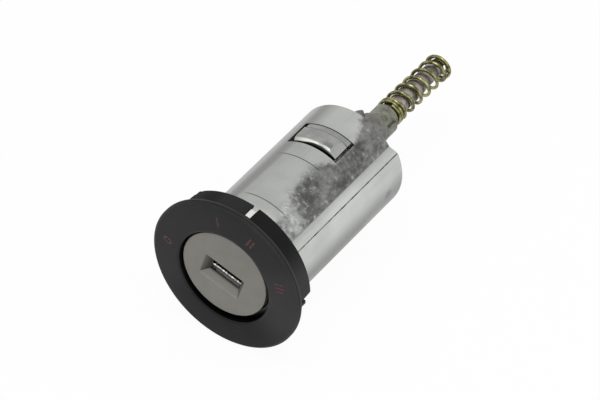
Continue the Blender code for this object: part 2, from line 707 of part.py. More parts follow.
def make_catch_spring(lock):
    """A bowed leaf under the catch."""
    ends = Vector((LEAF_HALF_SPAN, math.sqrt(CATCH_FLOOR_RADIUS**2 - LEAF_HALF_SPAN**2) + 1.2 * GAP))
    crown = CATCH_UNDER_RADIUS - GAP - LEAF_THICKNESS
    rise = crown - ends.y
    radius = (ends.x**2 + rise**2) / (2.0 * rise)
    centre = crown - radius
    half = math.degrees(math.asin(ends.x / radius))
    upper = [(x, y - centre) for x, y in arc(radius + LEAF_THICKNESS, -half, half, 12)]
    lower = [(x, y - centre) for x, y in arc(radius, half, -half, 12)]
    middle = 0.5 * (CATCH_FRONT + CATCH_REAR)
    front = middle - 0.5 * LEAF_LENGTH
    mesh = outline_mesh("catch_spring", [upper + lower], front, front + LEAF_LENGTH)
    return add_piece("catch_spring", mesh, "spring_steel", lock)


def make_face_cap(plug_frame, key_frame):
    """The satin cup on the plug's head, with the funnel that leads the key into its slot."""
    crimp = CAP_REAR - CRIMP_THICKNESS
    profile = [
        (0.0, CAP_FRONT_WALL),
        (CAP_INNER, CAP_FRONT_WALL),
        (CAP_INNER, crimp),
        (CAP_INNER - CRIMP_REACH, crimp),
        (CAP_INNER - CRIMP_REACH, CAP_REAR),
        (CAP_RADIUS, CAP_REAR),
        (CAP_RADIUS, CAP_EDGE),
        (CAP_RADIUS - ROUNDING * CAP_EDGE, ROUNDING * CAP_EDGE),
        (CAP_RADIUS - CAP_EDGE, 0.0),
        (0.0, 0.0),
    ]
    cap = add_piece("face_cap", profile_mesh("face_cap", profile, closed=False), "cap_satin", plug_frame)
    turn_profile(cap, PLUG_STEPS)
    slope_length = 0.5 * (FUNNEL_LENGTH - SLOT_LENGTH)
    slope_width = 0.5 * (FUNNEL_WIDTH - SLOT_WIDTH)
    front = (
        0.5 * FUNNEL_LENGTH + FUNNEL_OVERCUT * slope_length,
        0.5 * FUNNEL_WIDTH + FUNNEL_OVERCUT * slope_width,
        -FUNNEL_OVERCUT * CAP_FRONT_WALL,
    )
    rear = (0.5 * SLOT_LENGTH, 0.5 * SLOT_WIDTH, CAP_FRONT_WALL)
    mesh = tapered_mesh("funnel", front, rear)
    combine(cap, add_cutter("key_funnel", mesh, key_frame))
    low = (-0.5 * SLOT_LENGTH, -0.5 * SLOT_WIDTH, 0.5 * CAP_FRONT_WALL)
    high = (0.5 * SLOT_LENGTH, 0.5 * SLOT_WIDTH, CAP_FRONT_WALL + OVERCUT)
    combine(cap, add_cutter("cap_slot", box_mesh("cap_slot", low, high), key_frame))
    return cap


def make_plug(plug_frame, key_frame):
    """The turning plug: keyway, shutter recess, wafer slots, spring pockets and tail journal."""
    profile = [
        (0.0, PLUG_END),
        (JOURNAL_RADIUS - PLUG_REAR_CHAMFER, PLUG_END),
        (JOURNAL_RADIUS, PLUG_END - PLUG_REAR_CHAMFER),
        (JOURNAL_RADIUS, GROOVE_REAR),
        (GROOVE_RADIUS, GROOVE_REAR),
        (GROOVE_RADIUS, GROOVE_FRONT),
        (JOURNAL_RADIUS, GROOVE_FRONT),
        (JOURNAL_RADIUS, PLUG_BODY_REAR),
        (PLUG_RADIUS - PLUG_REAR_CHAMFER, PLUG_BODY_REAR),
        (PLUG_RADIUS, PLUG_BODY_REAR - PLUG_REAR_CHAMFER),
        (PLUG_RADIUS, PLUG_HEAD_REAR),
        (PLUG_HEAD_RADIUS, PLUG_HEAD_REAR),
        (PLUG_HEAD_RADIUS, PLUG_FRONT),
        (0.0, PLUG_FRONT),
    ]
    plug = add_piece("plug", profile_mesh("plug", profile, closed=False), "driver_zinc", plug_frame)
    turn_profile(plug, PLUG_STEPS)
    cut_keyway(plug, key_frame)
    cut_wafer_slots(plug, plug_frame)
    cut_driver_slot(plug, plug_frame)
    return plug


def cut_keyway(plug, key_frame):
    """The keyway, and in front of it the room for the shutter and its hinge pin."""
    half_length = 0.5 * SLOT_LENGTH
    half_width = 0.5 * SLOT_WIDTH
    front = PLUG_FRONT - OVERCUT
    low = (-half_length, -half_width, front)
    high = (half_length, half_width, PLUG_FRONT + KEYWAY_DEPTH)
    combine(plug, add_cutter("keyway", box_mesh("keyway", low, high), key_frame))
    low = (-RECESS_HALF_LENGTH, SHUTTER_EDGE - GAP, front)
    high = (RECESS_HALF_LENGTH, HINGE_Y + HINGE_RADIUS + GAP, RECESS_REAR)
    combine(plug, add_cutter("shutter_recess", box_mesh("shutter_recess", low, high), key_frame))
    seat = HINGE_PIN_RADIUS + GAP
    reach = SHUTTER_HALF_LENGTH + HINGE_PIN_OVERHANG + GAP
    low = (-reach, HINGE_Y - seat, front)
    high = (reach, HINGE_Y + seat, HINGE_Z + seat)
    combine(plug, add_cutter("hinge_pin_seat", box_mesh("hinge_pin_seat", low, high), key_frame))


def cut_wafer_slots(plug, plug_frame):
    """A slot for each wafer, and a pocket beside it for its spring, open towards the rib."""
    for number in range(1, WAFER_COUNT + 1):
        z = WAFER_FIRST + (number - 1) * WAFER_PITCH
        reach = PLUG_RADIUS + OVERCUT
        half = WAFER_HALF_WIDTH + GAP
        low = (-reach, -half, z - WAFER_SLOT_HALF)
        high = (reach, half, z + WAFER_SLOT_HALF)
        name = f"wafer_slot_{number}"
        combine(plug, add_cutter(name, box_mesh(name, low, high), plug_frame))
        low = (WAFER_SPRING_FLOOR, half - GAP, z - WAFER_SPRING_POCKET_HALF)
        high = (reach, EAR_OUTER + GAP, z + WAFER_SPRING_POCKET_HALF)
        name = f"spring_pocket_{number}"
        combine(plug, add_cutter(name, box_mesh(name, low, high), plug_frame))


def cut_driver_slot(plug, plug_frame):
    """The slot across the journal that takes the driver's tongue, and the cross pin's hole."""
    half = TONGUE_HALF_THICKNESS + GAP
    reach = JOURNAL_RADIUS + OVERCUT
    low = (-reach, -half, TONGUE_FRONT - GAP)
    high = (reach, half, PLUG_END + OVERCUT)
    combine(plug, add_cutter("tongue_slot", box_mesh("tongue_slot", low, high), plug_frame))
    combine(plug, cross_pin_cutter("plug_cross_hole", plug_frame))


def cross_pin_cutter(name, plug_frame):
    """The hole for the cross pin, with room for the pin."""
    reach = JOURNAL_RADIUS + OVERCUT
    start = (0.0, -reach, CROSS_PIN_Z)
    end = (0.0, reach, CROSS_PIN_Z)
    return add_cutter(name, rod_mesh(name, CROSS_PIN_RADIUS + GAP, start, end, SMALL_STEPS), plug_frame)


def make_shutter(key_frame):
    """The flap across the lower part of the key slot, rolled into a knuckle along its lower edge."""
    low = (SHUTTER_KNUCKLE_START, SHUTTER_EDGE, PLUG_FRONT)
    high = (SHUTTER_HALF_LENGTH, HINGE_Y, PLUG_FRONT + SHUTTER_THICKNESS)
    shutter = add_piece("shutter", box_mesh("shutter", low, high), "spring_steel", key_frame)
    wing_high = HINGE_Y - HINGE_RADIUS - 2.0 * GAP
    low = (-SHUTTER_HALF_LENGTH, SHUTTER_EDGE, PLUG_FRONT)
    high = (SHUTTER_KNUCKLE_START + OVERCUT, wing_high, PLUG_FRONT + SHUTTER_THICKNESS)
    combine(shutter, add_cutter("shutter_wing", box_mesh("shutter_wing", low, high), key_frame), "UNION")
    start = (SHUTTER_KNUCKLE_START, HINGE_Y, HINGE_Z)
    end = (SHUTTER_HALF_LENGTH, HINGE_Y, HINGE_Z)
    mesh = rod_mesh("shutter_knuckle", HINGE_RADIUS, start, end, SMALL_STEPS)
    combine(shutter, add_cutter("shutter_knuckle", mesh, key_frame), "UNION")
    start = (SHUTTER_KNUCKLE_START - OVERCUT, HINGE_Y, HINGE_Z)
    end = (SHUTTER_HALF_LENGTH + OVERCUT, HINGE_Y, HINGE_Z)
    mesh = rod_mesh("knuckle_bore", HINGE_PIN_RADIUS + GAP, start, end, SMALL_STEPS)
    combine(shutter, add_cutter("knuckle_bore", mesh, key_frame))
    return shutter


def make_shutter_pin(key_frame):
    """The hinge pin, dropped into its seat from the front and held in by the cap."""
    reach = SHUTTER_HALF_LENGTH + HINGE_PIN_OVERHANG
    start = (-reach, HINGE_Y, HINGE_Z)
    end = (reach, HINGE_Y, HINGE_Z)
    mesh = rod_mesh("shutter_pin", HINGE_PIN_RADIUS, start, end, SMALL_STEPS)
    return add_piece("shutter_pin", mesh, "spring_steel", key_frame)


def make_shutter_spring(key_frame):
    """A small torsion spring on the pin: one leg in the recess, the other behind the flap."""
    wire = SHUTTER_WIRE_RADIUS
    radius = HINGE_PIN_RADIUS + 2.0 * wire
    left = -SHUTTER_HALF_LENGTH
    pitch = (SHUTTER_KNUCKLE_START - GAP - wire - left) / (SHUTTER_SPRING_TURNS + 0.25)
    behind_flap = PLUG_FRONT + SHUTTER_THICKNESS + GAP + 2.0 * wire
    points = [Vector((left, HINGE_Y + radius, RECESS_REAR - GAP - wire))]
    steps = SMALL_COIL_STEPS * SHUTTER_SPRING_TURNS
    turn = 2.0 * math.pi * (SHUTTER_SPRING_TURNS + 0.25)
    for i in range(steps + 1):
        angle = turn * i / steps
        x = left + pitch * angle / (2.0 * math.pi)
        points.append(Vector((x, HINGE_Y + radius * math.cos(angle), HINGE_Z - radius * math.sin(angle))))
    end = points[-1]
    points.append(Vector((end.x, wing_edge() + 2.0 * wire, behind_flap)))
    points.append(Vector((end.x, SHUTTER_EDGE + wire, behind_flap)))
    return add_piece("shutter_spring", wire_curve("shutter_spring", points, wire), "spring_steel", key_frame)


def wing_edge():
    """The lower edge of the flap's wing beside the spring."""
    return HINGE_Y - HINGE_RADIUS - 2.0 * GAP


def make_wafers(plug_frame):
    """Eight brass wafers, lifted flush with the plug, each with its own window height."""
    end_radius = PLUG_RADIUS - 0.5 * GAP
    side = math.degrees(math.asin(WAFER_HALF_WIDTH / end_radius))
    window_half_length = 0.5 * SLOT_LENGTH + WAFER_WINDOW_SPARE
    window_half_width = 0.5 * SLOT_WIDTH + GAP
    for number in range(1, WAFER_COUNT + 1):
        z = WAFER_FIRST + (number - 1) * WAFER_PITCH
        lift = WAFER_LIFTS[(number - 1) % len(WAFER_LIFTS)]
        outline = arc(end_radius, 90.0 - side, 90.0 + side, 6)
        outline += [(-EAR_LOW, WAFER_HALF_WIDTH), (-EAR_LOW, EAR_OUTER), (EAR_LOW, EAR_OUTER)]
        outline.append((EAR_LOW, WAFER_HALF_WIDTH))
        outline += arc(end_radius, 270.0 - side, 270.0 + side, 6)
        left = SLOT_SHIFT + lift - window_half_length
        right = SLOT_SHIFT + lift + window_half_length
        upper = SLOT_DROP - window_half_width
        lower = SLOT_DROP + window_half_width
        window = [(left, upper), (right, upper), (right, lower), (left, lower)]
        name = f"wafer_{number}"
        half = 0.5 * WAFER_THICKNESS
        mesh = outline_mesh(name, [outline, window], z - half, z + half)
        add_piece(name, mesh, "brass", plug_frame)
        make_wafer_spring(number, z, plug_frame)


def make_wafer_spring(number, z, plug_frame):
    """The coil that pushes a wafer out towards the rib."""
    wire = WAFER_WIRE_RADIUS
    radius = WAFER_SPRING_RADIUS - wire
    start = WAFER_SPRING_FLOOR + GAP + wire
    length = WAFER_SPRING_LENGTH - 2.0 * wire
    middle = WAFER_HALF_WIDTH + 0.5 * EAR_REACH
    steps = SMALL_COIL_STEPS * WAFER_SPRING_TURNS
    points = []
    for i in range(steps + 1):
        angle = 2.0 * math.pi * WAFER_SPRING_TURNS * i / steps
        x = start + length * i / steps
        points.append((x, middle + radius * math.cos(angle), z + radius * math.sin(angle)))
    name = f"wafer_spring_{number}"
    add_piece(name, wire_curve(name, points, wire), "spring_steel", plug_frame)


def make_rear_washer(lock):
    """A plain washer between the housing's rear wall and the clip."""
    rear = WASHER_FRONT + WASHER_THICKNESS
    profile = [
        (WASHER_RADIUS, rear),
        (WASHER_RADIUS, WASHER_FRONT),
        (REAR_HOLE_RADIUS, WASHER_FRONT),
        (REAR_HOLE_RADIUS, rear),
    ]
    washer = add_piece("rear_washer", profile_mesh("rear_washer", profile, closed=True), "spring_steel", lock)
    turn_profile(washer, PLUG_STEPS)
    return washer


def make_plug_clip(plug_frame):
    """The C-shaped clip in the journal's groove that keeps the plug in."""
    inner = GROOVE_RADIUS + GAP
    front = GROOVE_FRONT + GAP
    start = 0.5 * CLIP_OPENING
    end = 360.0 - start
    outline = arc(inner + CLIP_BAND, start, end, 30) + arc(inner, end, start, 30)
    mesh = outline_mesh("plug_clip", [outline], front, front + CLIP_THICKNESS)
    return add_piece("plug_clip", mesh, "spring_steel", plug_frame)


def make_driver(plug_frame):
    """The cast driver: tongue, cam, hub, a dog on its side, and the sleeve that seats the spring."""
    profile = [
        (0.0, TAIL_PIN_START - GAP),
        (TAIL_BORE_RADIUS, TAIL_PIN_START - GAP),
        (TAIL_BORE_RADIUS, SLEEVE_REAR),
        (SLEEVE_RADIUS - SLEEVE_EDGE, SLEEVE_REAR),
        (SLEEVE_RADIUS, SLEEVE_REAR - SLEEVE_EDGE),
        (SLEEVE_RADIUS, HUB_REAR + SLEEVE_EDGE),
        (SLEEVE_RADIUS + SLEEVE_EDGE, HUB_REAR),
        (HUB_RADIUS - SLEEVE_EDGE, HUB_REAR),
        (HUB_RADIUS, HUB_REAR - SLEEVE_EDGE),
        (HUB_RADIUS, HUB_FRONT + COLLAR_LENGTH),
        (COLLAR_RADIUS, HUB_FRONT + COLLAR_LENGTH),
        (COLLAR_RADIUS, HUB_FRONT),
        (0.0, HUB_FRONT),
    ]
    driver = add_piece("driver", profile_mesh("driver", profile, closed=False), "driver_zinc", plug_frame)
    turn_profile(driver, PLUG_STEPS)
    cam = (CAM_RADIUS, CAM_CLOCK - KEY_TILT, CAM_HALF_ANGLE, GAP, CAM_LENGTH)
    dog = (DOG_RADIUS, RIB_CLOCK - KEY_TILT, DOG_HALF_ANGLE, DOG_START, DOG_START + DOG_LENGTH)
    for name, (radius, clock, half, front, rear) in (("driver_cam", cam), ("driver_dog", dog)):
        outline = arc(radius, clock - half, clock + half, 10)
        outline += arc(TAIL_BORE_RADIUS + GAP, clock + half, clock - half, 6)
        mesh = outline_mesh(name, [outline], HUB_FRONT + front, HUB_FRONT + rear)
        lobe = add_cutter(name, mesh, plug_frame)
        soften(lobe, DRIVER_EDGE)
        combine(driver, lobe, "UNION")
    low = (-TONGUE_HALF_WIDTH, -TONGUE_HALF_THICKNESS, TONGUE_FRONT)
    high = (TONGUE_HALF_WIDTH, TONGUE_HALF_THICKNESS, HUB_FRONT + OVERCUT)
    combine(driver, add_cutter("driver_tongue", box_mesh("driver_tongue", low, high), plug_frame), "UNION")
    combine(driver, cross_pin_cutter("driver_cross_hole", plug_frame))
    return driver


def make_driver_pin(plug_frame):
    """The cross pin through the journal and the tongue."""
    reach = JOURNAL_RADIUS - GAP
    start = (0.0, -reach, CROSS_PIN_Z)
    end = (0.0, reach, CROSS_PIN_Z)
    mesh = rod_mesh("driver_pin", CROSS_PIN_RADIUS, start, end, SMALL_STEPS)
    return add_piece("driver_pin", mesh, "spring_steel", plug_frame)


def make_tail_pin(plug_frame):
    """The steel pin that the tail spring runs on."""
    profile = [
        (0.0, TAIL_PIN_END),
        (TAIL_PIN_RADIUS - GAP, TAIL_PIN_END),
        (TAIL_PIN_RADIUS, TAIL_PIN_END - GAP),
        (TAIL_PIN_RADIUS, TAIL_PIN_START),
        (0.0, TAIL_PIN_START),
    ]
    pin = add_piece("tail_pin", profile_mesh("tail_pin", profile, closed=False), "pin_steel", plug_frame)
    turn_profile(pin, SMALL_STEPS)
    return pin


def coil_height(turns):
    """How far along the tail spring a number of turns reaches: close, then open, then close."""
    base = min(turns, BASE_COILS)
    active = min(max(turns - BASE_COILS, 0.0), ACTIVE_COILS)
    end = max(turns - BASE_COILS - ACTIVE_COILS, 0.0)
    return (base + end) * COIL_CLOSE_PITCH + active * COIL_ACTIVE_PITCH


def make_tail_spring(plug_frame):
    """The open tail spring, closed at both ends, which leans a little on its pin."""
    radius = TAIL_SPRING_RADIUS - TAIL_WIRE_RADIUS
    turns = BASE_COILS + ACTIVE_COILS + END_COILS
    steps = round(turns * COIL_STEPS)
    lean = at_clock(SPRING_LEAN, SPRING_LEAN_CLOCK - KEY_TILT)
    points = []
    for i in range(steps + 1):
        done = turns * i / steps
        height = coil_height(done)
        x, y = at_clock(radius, COIL_START_CLOCK + 360.0 * done)
        share = height / coil_height(turns)
        points.append((x + share * lean[0], y + share * lean[1], TAIL_SPRING_START + height))
    curve = wire_curve("tail_spring", points, TAIL_WIRE_RADIUS)
    return add_piece("tail_spring", curve, "yellow_zinc", plug_frame)


def main():
    """Builds the lock."""
    clear_scene()
    make_collections()
    make_materials()
    lock = add_empty("lock_axis", turn=(math.radians(-90.0), 0.0, 0.0))
    plug_frame = add_empty("plug_axis", lock, (0.0, 0.0, math.radians(KEY_TILT)))
    key_frame = add_empty("key_slot", plug_frame, place=(SLOT_SHIFT, SLOT_DROP, 0.0))
    make_bezel(lock)
    make_housing(lock, plug_frame)
    make_catch(lock)
    make_catch_spring(lock)
    make_rear_washer(lock)
    make_face_cap(plug_frame, key_frame)
    make_plug(plug_frame, key_frame)
    make_shutter(key_frame)
    make_shutter_pin(key_frame)
    make_shutter_spring(key_frame)
    make_wafers(plug_frame)
    make_plug_clip(plug_frame)
    make_driver(plug_frame)
    make_driver_pin(plug_frame)
    make_tail_pin(plug_frame)
    make_tail_spring(plug_frame)


main()
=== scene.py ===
"""Dresses the ignition lock cylinder: fine surfaces, finishes, the dial's marks and a plain studio.

Units are metres. The lock lies along +Y with its face towards -Y and the top of the dial at +Z. A clock
angle runs clockwise from the top of the dial, as a driver sees it, and a profile is a list of points
(radius, distance along the lock from its face).
"""

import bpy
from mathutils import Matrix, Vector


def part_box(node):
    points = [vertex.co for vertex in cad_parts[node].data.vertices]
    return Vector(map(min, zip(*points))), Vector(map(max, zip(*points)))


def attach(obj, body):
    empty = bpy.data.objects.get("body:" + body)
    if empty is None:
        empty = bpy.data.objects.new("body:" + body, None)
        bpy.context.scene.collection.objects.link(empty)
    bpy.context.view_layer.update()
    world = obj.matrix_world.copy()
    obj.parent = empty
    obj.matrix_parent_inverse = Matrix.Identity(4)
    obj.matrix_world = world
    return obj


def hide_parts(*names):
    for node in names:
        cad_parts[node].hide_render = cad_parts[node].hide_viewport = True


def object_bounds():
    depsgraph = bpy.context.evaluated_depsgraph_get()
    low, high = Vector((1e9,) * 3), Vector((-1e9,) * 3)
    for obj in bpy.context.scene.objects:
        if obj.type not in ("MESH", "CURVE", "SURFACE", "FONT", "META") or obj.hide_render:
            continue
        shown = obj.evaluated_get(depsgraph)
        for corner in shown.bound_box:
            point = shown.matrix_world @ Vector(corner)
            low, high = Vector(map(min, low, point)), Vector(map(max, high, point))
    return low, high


bl_info = {
    "name": "Ignition Lock Cylinder",
    "version": (1, 0, 0),
    "blender": (4, 5, 0),
    "location": "3D View > Sidebar > Lock",
    "description": "Builds the fine surfaces, finishes and studio of an ignition lock cylinder",
    "category": "Add Mesh",
}

import math

import bmesh
import bpy
from bpy.props import FloatProperty, FloatVectorProperty, IntProperty, PointerProperty
from mathutils import Matrix, Vector

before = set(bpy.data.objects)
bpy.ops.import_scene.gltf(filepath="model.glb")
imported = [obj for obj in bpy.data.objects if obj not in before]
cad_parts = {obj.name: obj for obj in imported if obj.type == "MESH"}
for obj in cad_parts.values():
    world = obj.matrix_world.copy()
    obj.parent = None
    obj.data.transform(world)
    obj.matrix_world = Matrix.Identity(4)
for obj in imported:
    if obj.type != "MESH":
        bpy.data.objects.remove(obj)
CAD_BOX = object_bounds()

LOCK_AXIS = Vector((0.0, 1.0, 0.0))
MERGE = 0.000001
CLEAR = 0.001
BENCH_SCALE = 1000.0

# Places that come from the frame
BEZEL_LOW, BEZEL_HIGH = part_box("bezel")
HOUSING_LOW, HOUSING_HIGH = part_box("housing")
CAP_LOW, CAP_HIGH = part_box("face_cap")
CATCH_LOW, CATCH_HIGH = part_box("retaining_catch")
DRIVER_LOW, DRIVER_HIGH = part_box("driver")
PIN_LOW, PIN_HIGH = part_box("tail_pin")
SPRING_LOW, SPRING_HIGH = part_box("tail_spring")
HUB_FRONT = DRIVER_LOW.y + 0.0060
HUB_REAR = HUB_FRONT + 0.0052

# From the flange's rim in to the foot of the dial's slope
DIAL_EDGE = 0.0006

# Soft borders in the finishes. A pair is where one starts and ends, along the lock, in radius or in
# clock degrees, and a pair of pairs is where a mask rises and where it falls.
SKIRT_FROM = (0.0017, 0.0021)
# The next two pairs bound the bezel's painted light: on the skirt's top, and on the flange's right side.
SKIRT_LIT_TOP = (8.0, 18.0)
BEZEL_LIT_RIGHT = ((50.0, 78.0), (110.0, 150.0))
FUNNEL_WITHIN = (0.0068, 0.0074)
HEAD_REAR = (0.0068, 0.0078)
# Where painted light lies on the barrel's top, in clock degrees
LIT_BARREL_TOP = ((-20.0, -8.0), (30.0, 54.0))
# Where a stripe of painted shade lies on the barrel's left side, in clock degrees
SHADE_STRIPE = ((-40.0, -29.0), (-27.0, -17.0))
CAST_STOP = (55.5, 58.0)
FLAP_REAR = (0.00246, 0.00250)

# The cast skin's border on the barrel: a distance along the lock and a clock angle in degrees
CAST_BORDER = (
    (0.008, 31.0),
    (0.014, 27.0),
    (0.021, 20.0),
    (0.030, 15.0),
    (0.036, 28.0),
    (0.044, 27.0),
    (0.052, 15.0),
)

# The fine lines round the barrel: a distance along the lock, and the first and last clock angle
RING_LINES = ((0.0142, -22.0, 34.0), (0.0306, -30.0, 30.0))

# The middle of a dark patch on the rib
DARK_PATCH = (0.0149, 0.0455, -0.0016)


def size_of(name, about, default):
    """A length that a user can change."""
    return FloatProperty(
        name=name, description=about, default=default, unit="LENGTH", subtype="DISTANCE", precision=5
    )


def angle_of(name, about, degrees):
    """An angle that a user can change."""
    default = math.radians(degrees)
    return FloatProperty(name=name, description=about, default=default, unit="ROTATION", subtype="ANGLE")


def colour_of(name, about, default):
    """A colour that a user can change."""
    return FloatVectorProperty(
        name=name, description=about, default=default, size=3, min=0.0, max=1.0, subtype="COLOR"
    )


class BezelSettings(bpy.types.PropertyGroup):
    """The dial ring."""
    radius: size_of("Radius", "Outer radius of the flange", 0.5 * (BEZEL_HIGH.x - BEZEL_LOW.x))
    hole: size_of("Hole", "Radius of the hole round the key face", 0.0124)
    thickness: size_of("Flange", "Thickness of the flange", 0.0019)
    crown: size_of("Crown", "How far the hole's edge stands out in front", -BEZEL_LOW.y)
    skirt_step: size_of("Skirt step", "From the flange's rim in to the skirt", 0.0007)
    skirt_draft: size_of("Skirt draft", "How much the skirt narrows to its rear edge", 0.0003)
    skirt_wall: size_of("Skirt wall", "Thickness of the skirt at its rear edge", 0.0008)
    skirt_foot: size_of("Skirt foot", "Height of the skirt where it is cut down", 0.0010)
    lug_reach: size_of("Lugs", "How far the snap lugs reach in from the skirt", 0.0016)
    notch: size_of("Notch", "Width of the notch for the housing's key", 0.0015)
    notch_clock: angle_of("Notch angle", "Clock angle of the notch", 14.7)
    groove: size_of("Rim groove", "Depth of the fine groove round the flange's rim", 0.00022)
    colour: colour_of("Plastic", "Charcoal of the moulded ring", (0.0135, 0.0135, 0.0138))


class MarkSettings(bpy.types.PropertyGroup):
    """The marks printed on the dial."""
    height: size_of("Height", "Height of a mark", 0.0025)
    stroke: size_of("Stroke", "Width of a stroke", 0.0005)
    pitch: size_of("Pitch", "Distance between the strokes of one mark", 0.00105)
    print_depth: size_of("Print", "Thickness of the print", 0.00004)
    colour: colour_of("Red", "Faded red of the print", (0.070, 0.014, 0.020))


class HousingSettings(bpy.types.PropertyGroup):
    """The zinc casting."""
    head_radius: size_of("Head", "Radius of the head", 0.5 * (HOUSING_HIGH.x - HOUSING_LOW.x))
    head_rear: size_of("Head rear", "Where the head ends along the lock", 0.0068)
    barrel_radius: size_of("Barrel", "Radius of the barrel", 0.0133)
    bore: size_of("Bore", "Radius of the plug's bore", 0.0096)
    rib_height: size_of("Rib", "How far the rib stands off the barrel", 0.0017)
    rib_start: angle_of("Rib start", "Clock angle of the rib's first shoulder, where its seam runs", 65.0)
    rib_end: angle_of("Rib end", "Clock angle of the rib's last shoulder", 150.0)
    rib_flank: angle_of("Rib flank", "Width of the rib's sloping side", 7.5)
    seam_half: angle_of("Seam", "Half width of the seam's groove", 0.5)
    seam_depth: size_of("Seam depth", "Depth of the seam's groove", 0.00022)
    window_half: size_of("Window", "Half of the catch window's width", 0.0068)
    window_front: size_of("Window front", "Where the window starts along the lock", 0.0355)
    window_length: size_of("Window length", "Length of the window along the lock", 0.0078)
    window_floor: size_of("Window floor", "Radius of the window's floor", 0.0104)
    key_width: size_of("Key", "Width of the locating key in the bezel's notch", 0.0013)
    colour: colour_of("Zinc", "Satin zinc", (0.36, 0.367, 0.352))


class CatchSettings(bpy.types.PropertyGroup):
    """The retaining catch."""
    top: size_of("Top", "Radius of the catch's curved top", 0.01355)
    under: size_of("Underside", "Radius of its underside", 0.01165)
    half_width: size_of("Half width", "Half of the catch across the barrel", 0.0062)
    left_trim: size_of("Left trim", "How much shorter the left end stands", 0.0004)
    front_gap: size_of("Front gap", "From the window's front to the catch", 0.0010)
    rear_gap: size_of("Rear gap", "From the catch to the window's rear", 0.0001)
    nose: size_of("Nose", "Length of the rounded nose", 0.0011)
    ledge: size_of("Ledge", "Length of the stepped rear edge", 0.0018)
    ledge_drop: size_of("Ledge drop", "Depth of that step", 0.00035)
    facet: size_of("Facet", "Width of the facet at the right end", 0.0021)
    facet_front: size_of("Facet front", "From the nose's front edge to the facet's inner corner", 0.0024)
    facet_drop: size_of("Facet drop", "How far the facet falls to its front corner", 0.0010)


class CapSettings(bpy.types.PropertyGroup):
    """The satin key face."""
    radius: size_of("Radius", "Outer radius of the cap", 0.5 * (CAP_HIGH.x - CAP_LOW.x))
    wall: size_of("Front wall", "Thickness of the cap's front", 0.0016)
    skirt: size_of("Side wall", "Thickness of the cap's side", 0.0005)
    edge: size_of("Edge", "Rounding of the front edge", 0.00035)
    tilt: angle_of("Tilt", "Clock angle of the plug at rest", 18.0)
    funnel_length: size_of("Funnel length", "Length of the funnel's mouth", 0.0113)
    funnel_width: size_of("Funnel width", "Width of the funnel's mouth", 0.0068)
    slot_length: size_of("Slot length", "Length of the key slot", 0.0081)
    slot_width: size_of("Slot width", "Width of the key slot", 0.0034)
    slot_drop: size_of("Slot drop", "How far the slot lies below the plug's axis", 0.0012)
    slot_shift: size_of("Slot shift", "How far the slot lies along its own length from the axis", -0.00005)
    mouth_shift: size_of("Mouth shift", "How far the funnel's mouth lies along the slot", -0.00042)
    tooth: size_of("Tooth", "Pitch of the teeth on the dust flap's edge", 0.00085)
    tooth_depth: size_of("Tooth depth", "Depth of those teeth", 0.00014)
    flap_trim: size_of("Flap trim", "How much of the flap's edge the teeth are cut from", 0.00035)
    colour: colour_of("Satin", "Warm grey of the cap", (0.216, 0.212, 0.190))


class TailSettings(bpy.types.PropertyGroup):
    """The driver, its pin and the tail spring."""
    wire: size_of("Wire", "Radius of the spring's wire", 0.00043)
    coil: size_of("Coil", "Outer radius of the spring", 0.00355)
    sleeve: size_of("Sleeve", "Radius of the driver's sleeve", 0.00335)
    hub: size_of("Hub", "Radius of the driver's hub", 0.0042)
    base_turns: FloatProperty(name="Base turns", description="Closed turns at the driver", default=2.0)
    open_turns: FloatProperty(name="Open turns", description="Open turns", default=5.6)
    end_turns: FloatProperty(name="End turns", description="Closed turns at the tip", default=1.0)
    inner_turns: FloatProperty(
        name="Inner turns", description="Turns of the flat spiral drawn in over the pin's tip", default=1.5
    )
    shank: size_of("Shank", "Radius of the pin's thicker front part", 0.00248)
    driver_colour: colour_of("Driver", "Dull dark zinc", (0.168, 0.166, 0.155))
    spring_colour: colour_of("Spring", "Yellow zinc plating", (0.20, 0.19, 0.075))
    pin_colour: colour_of("Pin", "Ground steel", (0.33, 0.295, 0.285))


class StageSettings(bpy.types.PropertyGroup):
    """The camera, the lamps and the floor."""
    azimuth: angle_of("Azimuth", "The camera's turn round the lock", 34.15)
    elevation: angle_of("Elevation", "The camera's height over the horizon", 41.6)
    distance: size_of("Distance", "From the camera to what it looks at", 0.9)
    look_at: FloatVectorProperty(
        name="Look at",
        description="The point in the middle of the picture",
        default=(0.00395, 0.025, 0.00635),
        subtype="XYZ",
    )
    lens: FloatProperty(name="Lens", description="Focal length in millimetres", default=234.6, unit="CAMERA")
    sky: FloatProperty(name="Sky", description="Level of the light from all round", default=0.55)
    segments: IntProperty(name="Segments", description="Steps in a full turn of a round piece", default=192)


def soften(points, reach, segments=3, closed=True):
    """Rounds a profile's corners. A point may carry its own reach as a third number."""
    rounded = []
    count = len(points)
    for i, point in enumerate(points):
        corner = Vector(point[:2])
        own = point[2] if len(point) > 2 else reach
        if own <= 0.0 or (not closed and i in (0, count - 1)):
            rounded.append(tuple(corner))
            continue
        before = Vector(points[i - 1][:2]) - corner
        after = Vector(points[(i + 1) % count][:2]) - corner
        length = min(own, 0.45 * before.length, 0.45 * after.length)
        start = corner + length * before.normalized()
        end = corner + length * after.normalized()
        for step in range(segments + 1):
            t = step / segments
            rounded.append(tuple((1 - t) ** 2 * start + 2 * t * (1 - t) * corner + t**2 * end))
    return rounded


def around(radius, clock, along):
    """The point at a radius, a clock angle in radians and a distance along the lock."""
    return Vector((radius * math.sin(clock), along, radius * math.cos(clock)))


def arc(radius, start, end, steps):
    """Points (x, z) on an arc about the lock's axis."""
    points = [around(radius, start + (end - start) * i / steps, 0.0) for i in range(steps + 1)]
    return [(point.x, point.z) for point in points]


def on_plug(across, down, tilt):
    """The point (x, z) that lies so far along the key slot and so far below the axis on the tilted plug."""
    return (across * math.cos(tilt) - down * math.sin(tilt), -across * math.sin(tilt) - down * math.cos(tilt))


